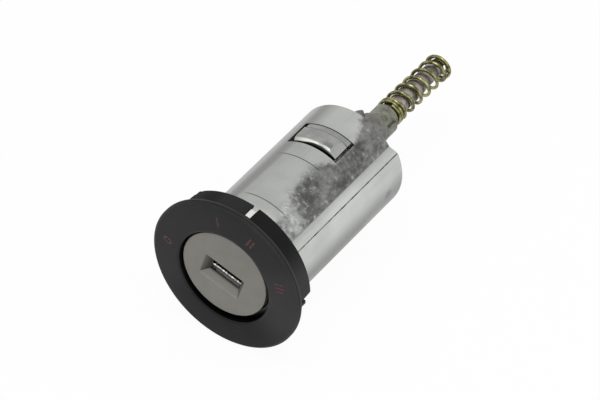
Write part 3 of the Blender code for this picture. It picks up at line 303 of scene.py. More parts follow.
def plug_direction(across, down, tilt):
    """The direction along the key slot, or down across it, on the tilted plug."""
    x, z = on_plug(across, down, tilt)
    return Vector((x, 0.0, z))


def flap_edge(size):
    """How far below the axis the flap's free edge lies, which is near the middle of the slot."""
    return size.slot_drop - 0.0001


def tidied(bm):
    """Merges doubles and turns the faces outwards."""
    bmesh.ops.remove_doubles(bm, verts=bm.verts, dist=MERGE)
    bmesh.ops.recalc_face_normals(bm, faces=bm.faces)
    return bm


def turned(profile, steps, closed=True):
    """A profile turned once about the lock's axis."""
    bm = bmesh.new()
    verts = [bm.verts.new(around(radius, 0.0, along)) for radius, along in profile]
    pairs = list(zip(verts, verts[1:]))
    if closed:
        pairs.append((verts[-1], verts[0]))
    edges = [bm.edges.new(pair) for pair in pairs]
    bmesh.ops.spin(
        bm,
        geom=verts + edges,
        cent=(0.0, 0.0, 0.0),
        axis=LOCK_AXIS,
        angle=2.0 * math.pi,
        steps=steps,
        use_merge=True,
    )
    return tidied(bm)


def swept(profile, start, end, steps):
    """A closed section carried round the lock's axis between two clock angles in radians."""
    bm = bmesh.new()
    face = bm.faces.new([bm.verts.new(around(radius, start, along)) for radius, along in profile])
    bmesh.ops.spin(
        bm,
        geom=[face, *face.edges, *face.verts],
        cent=(0.0, 0.0, 0.0),
        axis=LOCK_AXIS,
        angle=end - start,
        steps=steps,
    )
    return tidied(bm)


def prism(outline, low, high):
    """A flat outline of points (x, z) made as long as low to high along the lock."""
    bm = bmesh.new()
    face = bm.faces.new([bm.verts.new((x, low, z)) for x, z in outline])
    grown = bmesh.ops.extrude_face_region(bm, geom=[face])
    moved = [item for item in grown["geom"] if isinstance(item, bmesh.types.BMVert)]
    bmesh.ops.translate(bm, vec=(0.0, high - low, 0.0), verts=moved)
    bmesh.ops.recalc_face_normals(bm, faces=bm.faces)
    return bm


def block(low, high, clock=0.0):
    """A box between two corners, turned to a clock angle."""
    low = Vector(low)
    high = Vector(high)
    bm = bmesh.new()
    place = Matrix.Translation(0.5 * (low + high)) @ Matrix.Diagonal((*(high - low), 1.0))
    bmesh.ops.create_cube(bm, size=1.0, matrix=Matrix.Rotation(clock, 4, "Y") @ place)
    return bm


def bench_object(bm):
    """A passing object for a boolean, enlarged because the solver merges points that lie close together."""
    bmesh.ops.scale(bm, vec=(BENCH_SCALE, BENCH_SCALE, BENCH_SCALE), verts=bm.verts)
    mesh = bpy.data.meshes.new("bench")
    bm.to_mesh(mesh)
    bm.free()
    obj = bpy.data.objects.new("bench", mesh)
    bpy.context.scene.collection.objects.link(obj)
    return obj


def combine(body, tool, operation="DIFFERENCE"):
    """Cuts a tool out of a body, or joins it on, and gives the new body."""
    pair = [bench_object(body), bench_object(tool)]
    boolean = pair[0].modifiers.new("combine", "BOOLEAN")
    boolean.operation = operation
    boolean.solver = "EXACT"
    boolean.object = pair[1]
    joined = bmesh.new()
    joined.from_object(pair[0], bpy.context.evaluated_depsgraph_get())
    for obj in pair:
        mesh = obj.data
        bpy.data.objects.remove(obj, do_unlink=True)
        bpy.data.meshes.remove(mesh)
    if not joined.faces:
        raise RuntimeError("a boolean left nothing")
    shrink = 1.0 / BENCH_SCALE
    bmesh.ops.scale(joined, vec=(shrink, shrink, shrink), verts=joined.verts)
    return joined


def slice_off(bm, corners, outwards):
    """Cuts off what lies beyond the plane through three points, on the side that outwards points to."""
    first, second, third = (Vector(corner) for corner in corners)
    normal = (second - first).cross(third - first).normalized()
    if normal.dot(Vector(outwards)) < 0.0:
        normal.negate()
    geom = [*bm.verts, *bm.edges, *bm.faces]
    cut = bmesh.ops.bisect_plane(bm, geom=geom, dist=MERGE, plane_co=first, plane_no=normal, clear_outer=True)
    rim = [item for item in cut["geom_cut"] if isinstance(item, bmesh.types.BMEdge)]
    bmesh.ops.contextual_create(bm, geom=rim)
    bmesh.ops.recalc_face_normals(bm, faces=bm.faces)


def round_edges(bm, width, segments=2, least_angle=35.0):
    """Bevels the sharp edges of a bmesh."""
    least = math.radians(least_angle)
    sharp = [edge for edge in bm.edges if edge.is_manifold and edge.calc_face_angle() > least]
    bmesh.ops.bevel(
        bm,
        geom=sharp,
        offset=width,
        offset_type="OFFSET",
        segments=segments,
        profile=0.5,
        affect="EDGES",
        material=-1,
        clamp_overlap=True,
    )


def add_piece(name, bm, body, finish, nodes=(), smooth=38.0):
    """Makes the finished piece of a bmesh: shaded, dressed, riding on its body and standing for its nodes."""
    mesh = bpy.data.meshes.new(name)
    bm.to_mesh(mesh)
    bm.free()
    mesh.shade_smooth()
    mesh.set_sharp_from_angle(angle=math.radians(smooth))
    mesh.materials.append(bpy.data.materials[finish])
    piece = bpy.data.objects.new(name, mesh)
    bpy.context.scene.collection.objects.link(piece)
    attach(piece, body)
    if nodes:
        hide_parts(*nodes)


def node_shape(node):
    """The shape of a CAD node, with its doubled points merged."""
    bm = bmesh.new()
    bm.from_mesh(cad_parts[node].data)
    bmesh.ops.remove_doubles(bm, verts=bm.verts, dist=MERGE)
    return bm


class Graph:
    """A node tree with short ways to add nodes and join them."""

    def __init__(self, tree):
        self.tree = tree

    def add(self, kind, inputs=None, **settings):
        """Adds a node. An input is a value, or a socket that is joined to it."""
        node = self.tree.nodes.new(kind)
        for name, value in settings.items():
            setattr(node, name, value)
        self.fill(node, inputs or {})
        return node

    def fill(self, node, inputs):
        """Gives a node's inputs their values, or joins sockets to them."""
        for name, value in inputs.items():
            if isinstance(value, bpy.types.NodeSocket):
                self.tree.links.new(value, node.inputs[name])
            else:
                node.inputs[name].default_value = value

    def math(self, operation, first, second=0.0, third=0.0):
        """One Math node's result."""
        node = self.add("ShaderNodeMath", {0: first, 1: second, 2: third}, operation=operation)
        return node.outputs[0]

    def plus(self, first, second):
        """Two values added."""
        return self.math("ADD", first, second)

    def less(self, first, second):
        """The second value taken from the first."""
        return self.math("SUBTRACT", first, second)

    def times(self, first, second):
        """Two values multiplied, which is where two masks meet."""
        return self.math("MULTIPLY", first, second)

    def most(self, first, second):
        """The greater of two values, which is what either of two masks covers."""
        return self.math("MAXIMUM", first, second)

    def off(self, value, middle):
        """How far a value lies from a middle, on either side."""
        return self.math("ABSOLUTE", self.less(value, middle))

    def vector(self, operation, first, second):
        """One Vector Math node's vector."""
        return self.add("ShaderNodeVectorMath", {0: first, 1: second}, operation=operation).outputs["Vector"]

    def measure(self, operation, first, second):
        """One Vector Math node's value."""
        return self.add("ShaderNodeVectorMath", {0: first, 1: second}, operation=operation).outputs["Value"]

    def texture(self, vector, scale, detail, roughness=0.5):
        """A Noise Texture's value."""
        inputs = {"Vector": vector, "Scale": scale, "Detail": detail, "Roughness": roughness}
        return self.add("ShaderNodeTexNoise", inputs).outputs["Fac"]

    def noise(self, vector, size, detail=3.0):
        """Noise whose blobs are about this size in metres."""
        return self.texture(vector, 1.0 / size, detail, 0.55)

    def swing(self, vector, size, reach, detail=3.0):
        """Noise that swings about zero, as far as reach to either side."""
        return self.math("MULTIPLY_ADD", self.noise(vector, size, detail), 2.0 * reach, -reach)

    def span(self, value, low, high, to_low=0.0, to_high=1.0):
        """Maps a value smoothly from one range to another."""
        inputs = {"Value": value, "From Min": low, "From Max": high, "To Min": to_low, "To Max": to_high}
        node = self.add("ShaderNodeMapRange", inputs, interpolation_type="SMOOTHSTEP")
        return node.outputs["Result"]

    def fall(self, value, low, high, to_low=1.0, to_high=0.0):
        """Maps a value smoothly from a range to a falling one."""
        return self.span(value, low, high, to_low, to_high)

    def between(self, value, rise, fall):
        """A mask that rises over the first range of a value and falls over the second."""
        return self.times(self.span(value, *rise), self.fall(value, *fall))

    def mix(self, factor, first, second, blend="MIX"):
        """Mixes two colours."""
        node = self.add("ShaderNodeMix", {0: factor}, data_type="RGBA", blend_type=blend)
        for index, value in ((6, first), (7, second)):
            colour = value if isinstance(value, bpy.types.NodeSocket) else (*value, 1.0)
            self.fill(node, {index: colour})
        return node.outputs[2]

    def bump(self, height, strength, distance, normal=None):
        """A Bump node's normal."""
        inputs = {"Height": height, "Strength": strength, "Distance": distance}
        if normal is not None:
            inputs["Normal"] = normal
        return self.add("ShaderNodeBump", inputs).outputs["Normal"]

    def group(self, name, **inputs):
        """Places a shared group with its own values."""
        node = self.tree.nodes.new("ShaderNodeGroup")
        node.node_tree = bpy.data.node_groups[name]
        self.fill(node, inputs)
        return node.outputs


class Finish(Graph):
    """The graph of a material with one Principled shader, and the point on the object that it is read at."""

    def __init__(self, name, colour, metallic, roughness):
        material = bpy.data.materials.new(name)
        material.use_nodes = True
        material.diffuse_color = (*colour, 1.0)
        super().__init__(material.node_tree)
        self.shader = material.node_tree.nodes["Principled BSDF"]
        self.feed("Base Color", (*colour, 1.0))
        self.feed("Metallic", metallic)
        self.feed("Roughness", roughness)
        self.point = self.add("ShaderNodeTexCoord").outputs["Object"]

    def feed(self, name, value):
        """Gives one of the shader's inputs its value, or joins a socket to it."""
        self.fill(self.shader, {name: value})

    def grain(self, grain, drift):
        """The shared fine grain, with its scale and its drift's scale."""
        return self.group("fine_grain", Vector=self.point, Grain=grain, Drift=drift)

    def scuffs(self, along, scale):
        """The shared scratches, drawn out where along is small."""
        return self.group("scuffs", Vector=self.point, Along=along, Scale=scale)["Mask"]

    def cast(self, mottle, stretch):
        """The shared skin of a casting."""
        return self.group("cast_skin", Vector=self.point, Mottle=mottle, Stretch=stretch)

    def place(self):
        """Where the point lies on the lock: Clock in degrees, Along and Radius in metres."""
        return self.group("place_on_lock", Vector=self.point)

    def on_plug(self, across, down, tilt):
        """How far the point lies in a direction on the tilted plug."""
        x, z = on_plug(across, down, tilt)
        return self.measure("DOT_PRODUCT", self.point, (x, 0.0, z))


def new_group(name, inputs, outputs):
    """A shader node group with named sockets: its graph, its input sockets and its output node."""
    tree = bpy.data.node_groups.new(name, "ShaderNodeTree")
    for socket, kind, default in inputs:
        made = tree.interface.new_socket(name=socket, in_out="INPUT", socket_type=kind)
        if default is not None:
            made.default_value = default
    for socket in outputs:
        tree.interface.new_socket(name=socket, in_out="OUTPUT", socket_type="NodeSocketFloat")
    graph = Graph(tree)
    given = graph.add("NodeGroupInput").outputs
    result = graph.add("NodeGroupOutput")
    return graph, given, result


def make_place_group():
    """Where a point lies on the lock: its clock angle in degrees, its distance along and its radius."""
    inputs = [("Vector", "NodeSocketVector", None)]
    graph, given, result = new_group("place_on_lock", inputs, ("Clock", "Along", "Radius"))
    parts = graph.add("ShaderNodeSeparateXYZ", {0: given["Vector"]}).outputs
    angle = graph.math("ARCTAN2", parts["X"], parts["Z"])
    squares = graph.math("MULTIPLY_ADD", parts["X"], parts["X"], graph.times(parts["Z"], parts["Z"]))
    radius = graph.math("SQRT", squares)
    graph.fill(result, {"Clock": graph.math("DEGREES", angle), "Along": parts["Y"], "Radius": radius})


def make_grain_group():
    """A fine even grain with a slower drift in it, for moulded and blasted surfaces."""
    inputs = [
        ("Vector", "NodeSocketVector", None),
        ("Grain", "NodeSocketFloat", 5000.0),
        ("Drift", "NodeSocketFloat", 250.0),
    ]
    graph, given, result = new_group("fine_grain", inputs, ("Height", "Mask"))
    fine = graph.texture(given["Vector"], given["Grain"], 2.0)
    slow = graph.texture(given["Vector"], given["Drift"], 4.0)
    graph.fill(result, {"Height": fine, "Mask": slow})


def make_cast_group():
    """The skin of a zinc casting: cold-flow mottles, small pits and bright rubbed spots."""
    inputs = [
        ("Vector", "NodeSocketVector", None),
        ("Mottle", "NodeSocketFloat", 500.0),
        ("Stretch", "NodeSocketFloat", 0.6),
    ]
    graph, given, result = new_group("cast_skin", inputs, ("Tone", "Height", "Spark"))
    factors = graph.add("ShaderNodeCombineXYZ", {"X": 1.0, "Y": given["Stretch"], "Z": 1.0}).outputs[0]
    drawn = graph.vector("MULTIPLY", given["Vector"], factors)
    blobs = graph.texture(drawn, given["Mottle"], 5.0, 0.62)
    specks = graph.texture(given["Vector"], graph.times(given["Mottle"], 3.1), 3.0, 0.6)
    tone = graph.math("MULTIPLY_ADD", specks, 0.35, graph.times(blobs, 0.65))
    spark = graph.span(specks, 0.60, 0.70)
    graph.fill(result, {"Tone": graph.span(tone, 0.36, 0.62), "Height": tone, "Spark": spark})


def make_scuff_group():
    """Fine scratches drawn out along one direction."""
    inputs = [
        ("Vector", "NodeSocketVector", None),
        ("Along", "NodeSocketVector", (1.0, 0.05, 1.0)),
        ("Scale", "NodeSocketFloat", 4000.0),
    ]
    graph, given, result = new_group("scuffs", inputs, ("Mask",))
    drawn = graph.vector("MULTIPLY", given["Vector"], given["Along"])
    lines = graph.texture(drawn, given["Scale"], 2.0)
    graph.fill(result, {"Mask": graph.span(lines, 0.56, 0.72)})


def shade(colour, factor):
    """A colour made darker or lighter."""
    return tuple(min(1.0, channel * factor) for channel in colour)


def drifting(finish, mask, colour, low, high):
    """A colour that drifts between two shades of itself with a group's mask."""
    return finish.mix(mask, shade(colour, low), shade(colour, high))


def make_bezel_plastic(size):
    """Charcoal moulded plastic with a spark-eroded grain and light handling marks, painted light on the
    flange's right side and on the skirt's top and right, and painted shade on the rest of the skirt and on
    the hole's wall.
    """
    colour = size.colour[:]
    finish = Finish("bezel_plastic_fine", colour, 0.0, 0.5)
    grain = finish.grain(6500.0, 160.0)
    place = finish.place()
    tone = drifting(finish, finish.span(grain["Mask"], 0.35, 0.65), colour, 0.88, 1.14)
    worn = finish.mix(finish.times(finish.scuffs((0.25, 1.0, 1.0), 1500.0), 0.06), tone, (0.07, 0.07, 0.07))
    middle = 0.5 * (BEZEL_LOW + BEZEL_HIGH)
    centred = finish.vector("SUBTRACT", finish.point, (middle.x, 0.0, middle.z))
    own_radius = finish.group("place_on_lock", Vector=centred)["Radius"]
    # Painted shade: the hole's wall is drawn at a fifth of the plastic's colour, and it is rougher.
    in_shaded_hole = finish.fall(own_radius, size.hole + 0.00003, size.hole + 0.00012)
    on_skirt = finish.span(place["Along"], *SKIRT_FROM)
    dull = finish.most(on_skirt, in_shaded_hole)
    upright = finish.math("ABSOLUTE", place["Clock"])
    # Painted light and shade by clock angle: the flange's face is lighter on the right side, and the skirt is
    # lighter at its top and on the right and darker between.
    right = finish.between(place["Clock"], *BEZEL_LIT_RIGHT)
    face = finish.mix(right, worn, shade(colour, 1.9))
    skirt = finish.mix(right, shade(colour, 0.4), shade(colour, 2.6))
    side = finish.mix(finish.fall(upright, *SKIRT_LIT_TOP), skirt, shade(colour, 1.3))
    dark = finish.mix(in_shaded_hole, side, shade(colour, 0.2))
    gloss = finish.fall(upright, 100.0, 150.0, 0.22, 0.11)
    satin = finish.span(grain["Mask"], 0.3, 0.7, 0.50, 0.60)
    finish.feed("Specular IOR Level", finish.less(gloss, finish.times(dull, 0.10)))
    finish.feed("Base Color", finish.mix(dull, face, dark))
    finish.feed("Roughness", finish.math("MULTIPLY_ADD", dull, 0.22, satin))
    finish.feed("Normal", finish.bump(grain["Height"], 0.35, 0.00003))


def make_dial_print(colour):
    """Thin faded print, worn through in places."""
    finish = Finish("dial_print", colour, 0.0, 0.55)
    wear = finish.span(finish.noise(finish.point, 0.0006), 0.42, 0.60)
    finish.feed("Base Color", finish.mix(wear, colour, shade(colour, 0.35)))


def make_cap_satin(size):
    """Warm grey satin, blasted fine, with a soft drift in tone and painted shade in the funnel."""
    colour = size.colour[:]
    finish = Finish("cap_satin_fine", colour, 0.7, 0.5)
    grain = finish.grain(7000.0, 220.0)
    tone = drifting(finish, finish.span(grain["Mask"], 0.35, 0.65), colour, 0.94, 1.06)
    finish.feed("Base Color", finish.mix(funnel_shade(finish, size), tone, shade(colour, 0.22)))
    finish.feed("Roughness", finish.span(grain["Mask"], 0.3, 0.7, 0.46, 0.56))
    finish.feed("Normal", finish.bump(grain["Height"], 0.25, 0.00003))


def funnel_shade(finish, size):
    """A mask of the funnel's painted shade: its deep left end, and the foot of its other sides."""
    place = finish.place()
    deep = place["Along"]
    within = finish.times(finish.span(deep, 0.0, 0.0004), finish.fall(place["Radius"], *FUNNEL_WITHIN))
    wider = size.funnel_width - size.slot_width
    longer = size.funnel_length - size.slot_length - 2.0 * (size.mouth_shift - size.slot_shift)
    before_end = finish.less(size.slot_shift - 0.5 * size.slot_length, finish.on_plug(1.0, 0.0, size.tilt))
    below_slot = finish.less(finish.on_plug(0.0, 1.0, size.tilt), size.slot_drop + 0.5 * size.slot_width)
    past_edge = finish.less(finish.times(before_end, wider / longer), below_slot)
    left = finish.times(finish.span(past_edge, -0.0001, 0.0001), finish.span(deep, 0.0, 0.0014, 0.58, 1.0))
    foot = finish.span(deep, 0.0012, 0.0016, 0.20, 0.85)
    return finish.times(within, finish.most(left, foot))


def make_housing_zinc(colour, seam_clock):
    """Satin zinc on the barrel's top and rib, and a dull mottled cast skin between them, with painted light
    and shade by clock angle, and painted shade in the rib's seam and on the head's face behind the dial ring.
    """
    finish = Finish("housing_zinc", colour, 1.0, 0.36)
    place = finish.place()
    cast = finish.cast(240.0, 0.6)
    grain = finish.grain(3000.0, 120.0)
    rough = cast_area(finish, place)
    smooth = smooth_zinc(finish, place, grain, colour)
    tone = finish.mix(rough, smooth, mottled_zinc(finish, place, cast, colour))
    # The ring lines are lines in the casting; the line along the seam is painted shade.
    lines = finish.most(ring_lines(finish, place), seam_shade_line(finish, place, seam_clock))
    lined = finish.mix(finish.times(lines, 0.85), tone, shade(colour, 0.10))
    recess_shade = head_recess_shade(finish, place)
    finish.feed("Base Color", finish.mix(recess_shade, lined, shade(colour, 0.012)))
    finish.feed("Metallic", finish.fall(recess_shade, 0.0, 1.0))
    even = finish.span(grain["Mask"], 0.3, 0.7, 0.32, 0.42)
    uneven = finish.fall(cast["Tone"], 0.0, 1.0, 0.50, 0.30)
    blend = finish.add("ShaderNodeMix", {0: rough, 2: even, 3: uneven}, data_type="FLOAT")
    finish.feed("Roughness", blend.outputs[0])
    fine = finish.bump(grain["Height"], 0.12, 0.00004)
    finish.feed("Normal", finish.bump(finish.times(cast["Height"], rough), 0.55, 0.0005, fine))


def smooth_zinc(finish, place, grain, colour):
    """The machined zinc's colour: painted light and shade by areas, scuffed, darker in one patch, and painted
    shade at its sides.
    """
    tone = drifting(finish, finish.span(grain["Mask"], 0.3, 0.7), colour, 0.92, 1.06)
    lit_tone = finish.mix(1.0, tone, painted_light_level(finish, place), "MULTIPLY")
    scuff = finish.scuffs((1.0, 0.06, 1.0), 1700.0)
    scuffed = finish.mix(finish.times(scuff, 0.14), lit_tone, shade(colour, 0.72))
    far = finish.measure("DISTANCE", finish.point, DARK_PATCH)
    ragged = finish.plus(far, finish.times(finish.noise(finish.point, 0.0009), 0.0012))
    patched = finish.mix(finish.fall(ragged, 0.0010, 0.0024, 0.6), scuffed, shade(colour, 0.30))
    return finish.mix(painted_side_shade(finish, place), patched, shade(colour, 0.42))


def mottled_zinc(finish, place, cast, colour):
    """The cast skin's colour: dark mottles with bright flecks, lighter near the head."""
    near_head = finish.fall(place["Along"], 0.0150, 0.0215)
    mottled = drifting(finish, cast["Tone"], colour, 0.20, 0.60)
    bright_mottled = drifting(finish, cast["Tone"], colour, 0.36, 1.15)
    skin = finish.mix(near_head, mottled, bright_mottled)
    flecks = finish.times(cast["Spark"], finish.math("MULTIPLY_ADD", near_head, 0.40, 0.35))
    return finish.mix(flecks, skin, shade(colour, 1.5))


def cast_area(finish, place):
    """A mask of the dull skin between the barrel's top and the rib's foot, with a ragged soft border."""
    border = CAST_BORDER[0][1]
    for (low, first), (high, last) in zip(CAST_BORDER, CAST_BORDER[1:]):
        border = finish.plus(finish.span(place["Along"], low, high, 0.0, last - first), border)
    wander = finish.swing(finish.point, 0.003, 8.0, 4.0)
    ragged = finish.swing(finish.point, 0.0007, 5.0)
    clock = finish.plus(finish.plus(place["Clock"], wander), ragged)
    start = finish.span(finish.less(clock, border), -4.0, 7.0)
    stop = finish.fall(place["Clock"], *CAST_STOP)
    behind_head = finish.span(place["Along"], *HEAD_REAR)
    return finish.times(finish.times(start, stop), behind_head)


def painted_side_shade(finish, place):
    """A mask of painted shade on the barrel: a soft stripe, its far edge and its underside."""
    drawn = finish.vector("MULTIPLY", finish.point, (1.0, 0.08, 1.0))
    clock = finish.plus(place["Clock"], finish.swing(drawn, 0.003, 6.0))
    stripe = finish.times(finish.between(clock, *SHADE_STRIPE), 0.60)
    edge = finish.fall(clock, -60.0, -50.0, 0.55)
    beyond = finish.span(place["Clock"], 168.0, 176.0, 0.0, 0.6)
    on_barrel = finish.fall(place["Radius"], 0.0146, 0.0150)
    return finish.times(finish.most(finish.most(stripe, edge), beyond), on_barrel)


def painted_light_level(finish, place):
    """Painted light on the smooth zinc: brightest on the rib's first side and its flank, darkest on its far
    side.
    """
    clock = place["Clock"]
    along = place["Along"]
    rib = finish.span(clock, 54.0, 64.0, 1.0, 1.50)
    far_side = finish.fall(clock, 77.0, 104.0, 1.0, 0.38)
    underside = finish.span(clock, 125.0, 155.0, 0.0, 0.75)
    ahead = finish.span(clock, -18.0, -2.0, 0.0, 0.06)
    rear = finish.span(along, 0.0400, 0.0460, 0.0, 0.24)
    top = finish.between(clock, *LIT_BARREL_TOP)
    front = finish.times(finish.fall(along, 0.0090, 0.0125, 0.32), top)
    key_top = finish.span(place["Radius"], 0.0171, 0.0174)
    key = finish.times(key_top, finish.fall(along, 0.0052, 0.0056, 0.50))
    on_top = finish.times(top, finish.plus(ahead, rear))
    level = finish.plus(finish.times(rib, far_side), finish.plus(underside, on_top))
    total = finish.plus(level, finish.plus(front, key))
    return finish.add("ShaderNodeCombineColor", {0: total, 1: total, 2: total}).outputs[0]


def seam_shade_line(finish, place, seam_clock):
    """A mask of the dark uneven line in the rib's seam, which is painted shade in its groove."""
    uneven = finish.span(finish.noise(finish.point, 0.0016), 0.36, 0.62, 0.40, 1.0)
    off = finish.off(place["Clock"], math.degrees(seam_clock))
    ragged = finish.plus(off, finish.swing(finish.point, 0.0005, 0.45))
    line = finish.times(finish.fall(ragged, 0.30, 0.70), uneven)
    return finish.times(line, finish.span(place["Radius"], 0.0143, 0.0145))


def head_recess_shade(finish, place):
    """A mask of the head's face behind the dial ring, which is drawn black as painted shade."""
    near = finish.fall(place["Along"], 0.0044, 0.0048)
    return finish.times(near, finish.fall(place["Radius"], 0.0150, 0.0154))


def ring_lines(finish, place):
    """A mask of the fine lines round the barrel."""
    total = 0.0
    for along, start, end in RING_LINES:
        line = finish.fall(finish.off(place["Along"], along), 0.00008, 0.00018)
        reach = finish.between(place["Clock"], (start, start + 14.0), (end - 8.0, end))
        total = finish.most(total, finish.times(line, reach))
    return total


def make_catch_zinc(colour, size, window):
    """Smooth zinc, polished by the casting die, with a painted highlight along its nose, and painted shade
    under the nose, right of it, on its facet and along its step.
    """
    finish = Finish("catch_zinc", colour, 1.0, 0.24)
    place = finish.place()
    grain = finish.grain(2600.0, 420.0)
    front, rear = catch_ends(size, window)
    tone = drifting(finish, finish.span(grain["Mask"], 0.3, 0.7), colour, 0.72, 0.92)
    scuff = finish.scuffs((0.12, 1.0, 1.0), 3000.0)
    scuffed = finish.mix(finish.times(scuff, 0.25), tone, shade(colour, 0.6))
    # Painted shade: right of the middle and near the nose, the catch is drawn darker.
    near_nose = finish.fall(place["Along"], front + 0.0010, front + 0.0030, 0.55)
    nose_side_shade = finish.times(finish.span(place["Clock"], 4.0, 13.0), near_nose)
    shaded_tone = finish.mix(nose_side_shade, scuffed, shade(colour, 0.30))
    # Painted shade: the facet at the right end is drawn a little darker.
    cut = finish.mix(on_facet(finish, place, catch_facet(size, front, rear)), shaded_tone, shade(colour, 0.88))
    # A painted highlight: the band along the nose is drawn a pale cream.
    rubbed = finish.mix(nose_highlight(finish, place, front), cut, (0.76, 0.76, 0.69))
    # Painted shade: a dark line along the step at the rear edge.
    step = finish.fall(finish.off(place["Along"], rear - size.ledge), 0.00010, 0.00024, 0.85)
    lined = finish.mix(step, rubbed, shade(colour, 0.25))
    finish.feed("Base Color", finish.mix(shadow_under_nose(finish, place, front), lined, shade(colour, 0.08)))
    finish.feed("Roughness", finish.span(grain["Mask"], 0.3, 0.7, 0.22, 0.34))
    finish.feed("Normal", finish.bump(grain["Height"], 0.2, 0.00005))


def nose_highlight(finish, place, front):
    """A mask of the painted highlight along the nose, which fades towards both ends."""
    rise = (front + 0.00005, front + 0.00020)
    band = finish.between(place["Along"], rise, (front + 0.00070, front + 0.00100))
    left = finish.span(place["Clock"], -30.0, -8.0, 0.2, 1.0)
    return finish.times(band, finish.times(left, finish.fall(place["Clock"], 0.0, 8.0)))


def shadow_under_nose(finish, place, front):
    """A mask of the painted shadow under the nose, widest a little right of the middle."""
    clock = place["Clock"]
    hump = finish.times(finish.span(clock, -16.0, 2.0), finish.fall(clock, 6.0, 22.0, 1.0, 0.35))
    level = finish.less(place["Along"], finish.times(hump, 0.0003))
    return finish.fall(level, front + 0.00005, front + 0.00020)


def on_facet(finish, place, corners):
    """A mask of the catch's facet: what lies on its plane, at the catch's right end."""
    normal = (corners[1] - corners[0]).cross(corners[2] - corners[0]).normalized()
    level = finish.measure("DOT_PRODUCT", finish.point, normal)
    on_plane = finish.fall(finish.off(level, normal.dot(corners[0])), 0.000008, 0.000018)
    return finish.times(on_plane, finish.span(place["Clock"], 17.0, 17.5))


def catch_ends(size, window):
    """Where the catch starts and ends along the lock."""
    return window.window_front + size.front_gap, window.window_front + window.window_length - size.rear_gap


def catch_facet(size, front, rear):
    """The three corners of the catch's facet: inner, rear and front."""
    inner = size.half_width - size.facet
    edge_top = math.sqrt(size.top**2 - size.half_width**2)
    return (
        Vector((inner, front + size.facet_front, math.sqrt(size.top**2 - inner**2))),
        Vector((size.half_width, rear - 0.0004, edge_top - 0.5 * size.ledge_drop)),
        Vector((size.half_width, front + 0.0004, edge_top - size.facet_drop)),
    )


def make_driver_zinc(colour):
    """Dull dark cast zinc with lumps and greasy patches, greener on the sleeve."""
    finish = Finish("driver_zinc_fine", colour, 0.9, 0.5)
    cast = finish.cast(380.0, 0.8)
    on_sleeve = finish.span(finish.place()["Along"], HUB_REAR, HUB_REAR + 0.0006)
    sleeve_tone = finish.mix(cast["Tone"], (0.115, 0.115, 0.094), (0.225, 0.232, 0.182))
    both = finish.mix(on_sleeve, drifting(finish, cast["Tone"], colour, 0.72, 1.16), sleeve_tone)
    finish.feed("Base Color", finish.mix(finish.times(cast["Spark"], 0.25), both, shade(colour, 1.8)))
    finish.feed("Roughness", finish.fall(cast["Tone"], 0.0, 1.0, 0.56, 0.40))
    finish.feed("Normal", finish.bump(cast["Height"], 0.30, 0.0004))


def make_plated_wire(colour):
    """Yellow passivated zinc on drawn wire: olive and gold tints that drift along it."""
    finish = Finish("yellow_zinc_fine", colour, 1.0, 0.24)
    drift = finish.span(finish.noise(finish.point, 0.0016), 0.38, 0.62)
    tone = finish.mix(drift, (0.060, 0.060, 0.020), (0.36, 0.345, 0.165))
    finish.feed("Base Color", finish.mix(0.25, tone, colour))
    finish.feed("Roughness", finish.span(finish.noise(finish.point, 0.0009), 0.3, 0.7, 0.16, 0.30))
    finish.feed("Normal", finish.bump(finish.noise(finish.point, 0.00025), 0.12, 0.00003))


def make_pin_steel(colour):
    """Ground steel with a faint crossed grind and greenish oil stains."""
    finish = Finish("pin_steel_fine", colour, 1.0, 0.36)
    crossed = finish.most(finish.scuffs((0.5, 1.0, 0.5), 4500.0), finish.scuffs((1.0, 0.3, 1.0), 4000.0))
    stain = finish.span(finish.noise(finish.point, 0.0022), 0.42, 0.60)
    tone = finish.mix(stain, colour, (0.115, 0.115, 0.070))
    finish.feed("Base Color", finish.mix(finish.times(crossed, 0.30), tone, shade(colour, 1.7)))
    finish.feed("Roughness", finish.span(stain, 0.0, 1.0, 0.34, 0.50))
    finish.feed("Normal", finish.bump(crossed, 0.08, 0.00002))


def make_bright_steel():
    """Bright strip and wire steel with fine drawing marks."""
    colour = (0.56, 0.56, 0.57)
    finish = Finish("bright_steel", colour, 1.0, 0.28)
    drift = finish.span(finish.noise(finish.point, 0.003), 0.3, 0.7)
    tone = drifting(finish, drift, colour, 0.84, 1.08)
    marks = finish.times(finish.scuffs((1.0, 0.2, 1.0), 5000.0), 0.3)
    finish.feed("Base Color", finish.mix(marks, tone, shade(colour, 0.6)))
    finish.feed("Roughness", finish.span(drift, 0.0, 1.0, 0.24, 0.36))


def make_shutter_steel(size):
    """Rough strip steel, drawn dark as painted shade in the slot, with a painted highlight along the toothed
    edge.
    """
    # The plate's dark grey is painted shade.
    dark = (0.150, 0.148, 0.140)
    finish = Finish("shutter_steel", dark, 0.6, 0.6)
    speck = finish.span(finish.noise(finish.point, 0.00018, 2.0), 0.35, 0.65)
    tone = drifting(finish, speck, dark, 0.55, 1.45)
    # The next lines draw a painted highlight: a bright line along the toothed edge.
    edge = flap_edge(size) + size.flap_trim
    down = finish.on_plug(0.0, 1.0, size.tilt)
    line = finish.between(down, (edge - 0.00008, edge - 0.00004), (edge + 0.00023, edge + 0.00029))
    rubbed = finish.times(line, finish.fall(finish.place()["Along"], *FLAP_REAR))
    drift = finish.span(finish.noise(finish.point, 0.0007, 2.0), 0.38, 0.62)
    worn = finish.mix(drift, (0.26, 0.26, 0.25), (0.84, 0.84, 0.82))
    finish.feed("Base Color", finish.mix(rubbed, tone, worn))
    finish.feed("Metallic", finish.span(rubbed, 0.0, 1.0, 0.6, 0.9))
    finish.feed("Roughness", finish.fall(rubbed, 0.0, 1.0, 0.65, 0.24))
    finish.feed("Normal", finish.bump(speck, 0.5, 0.00005))


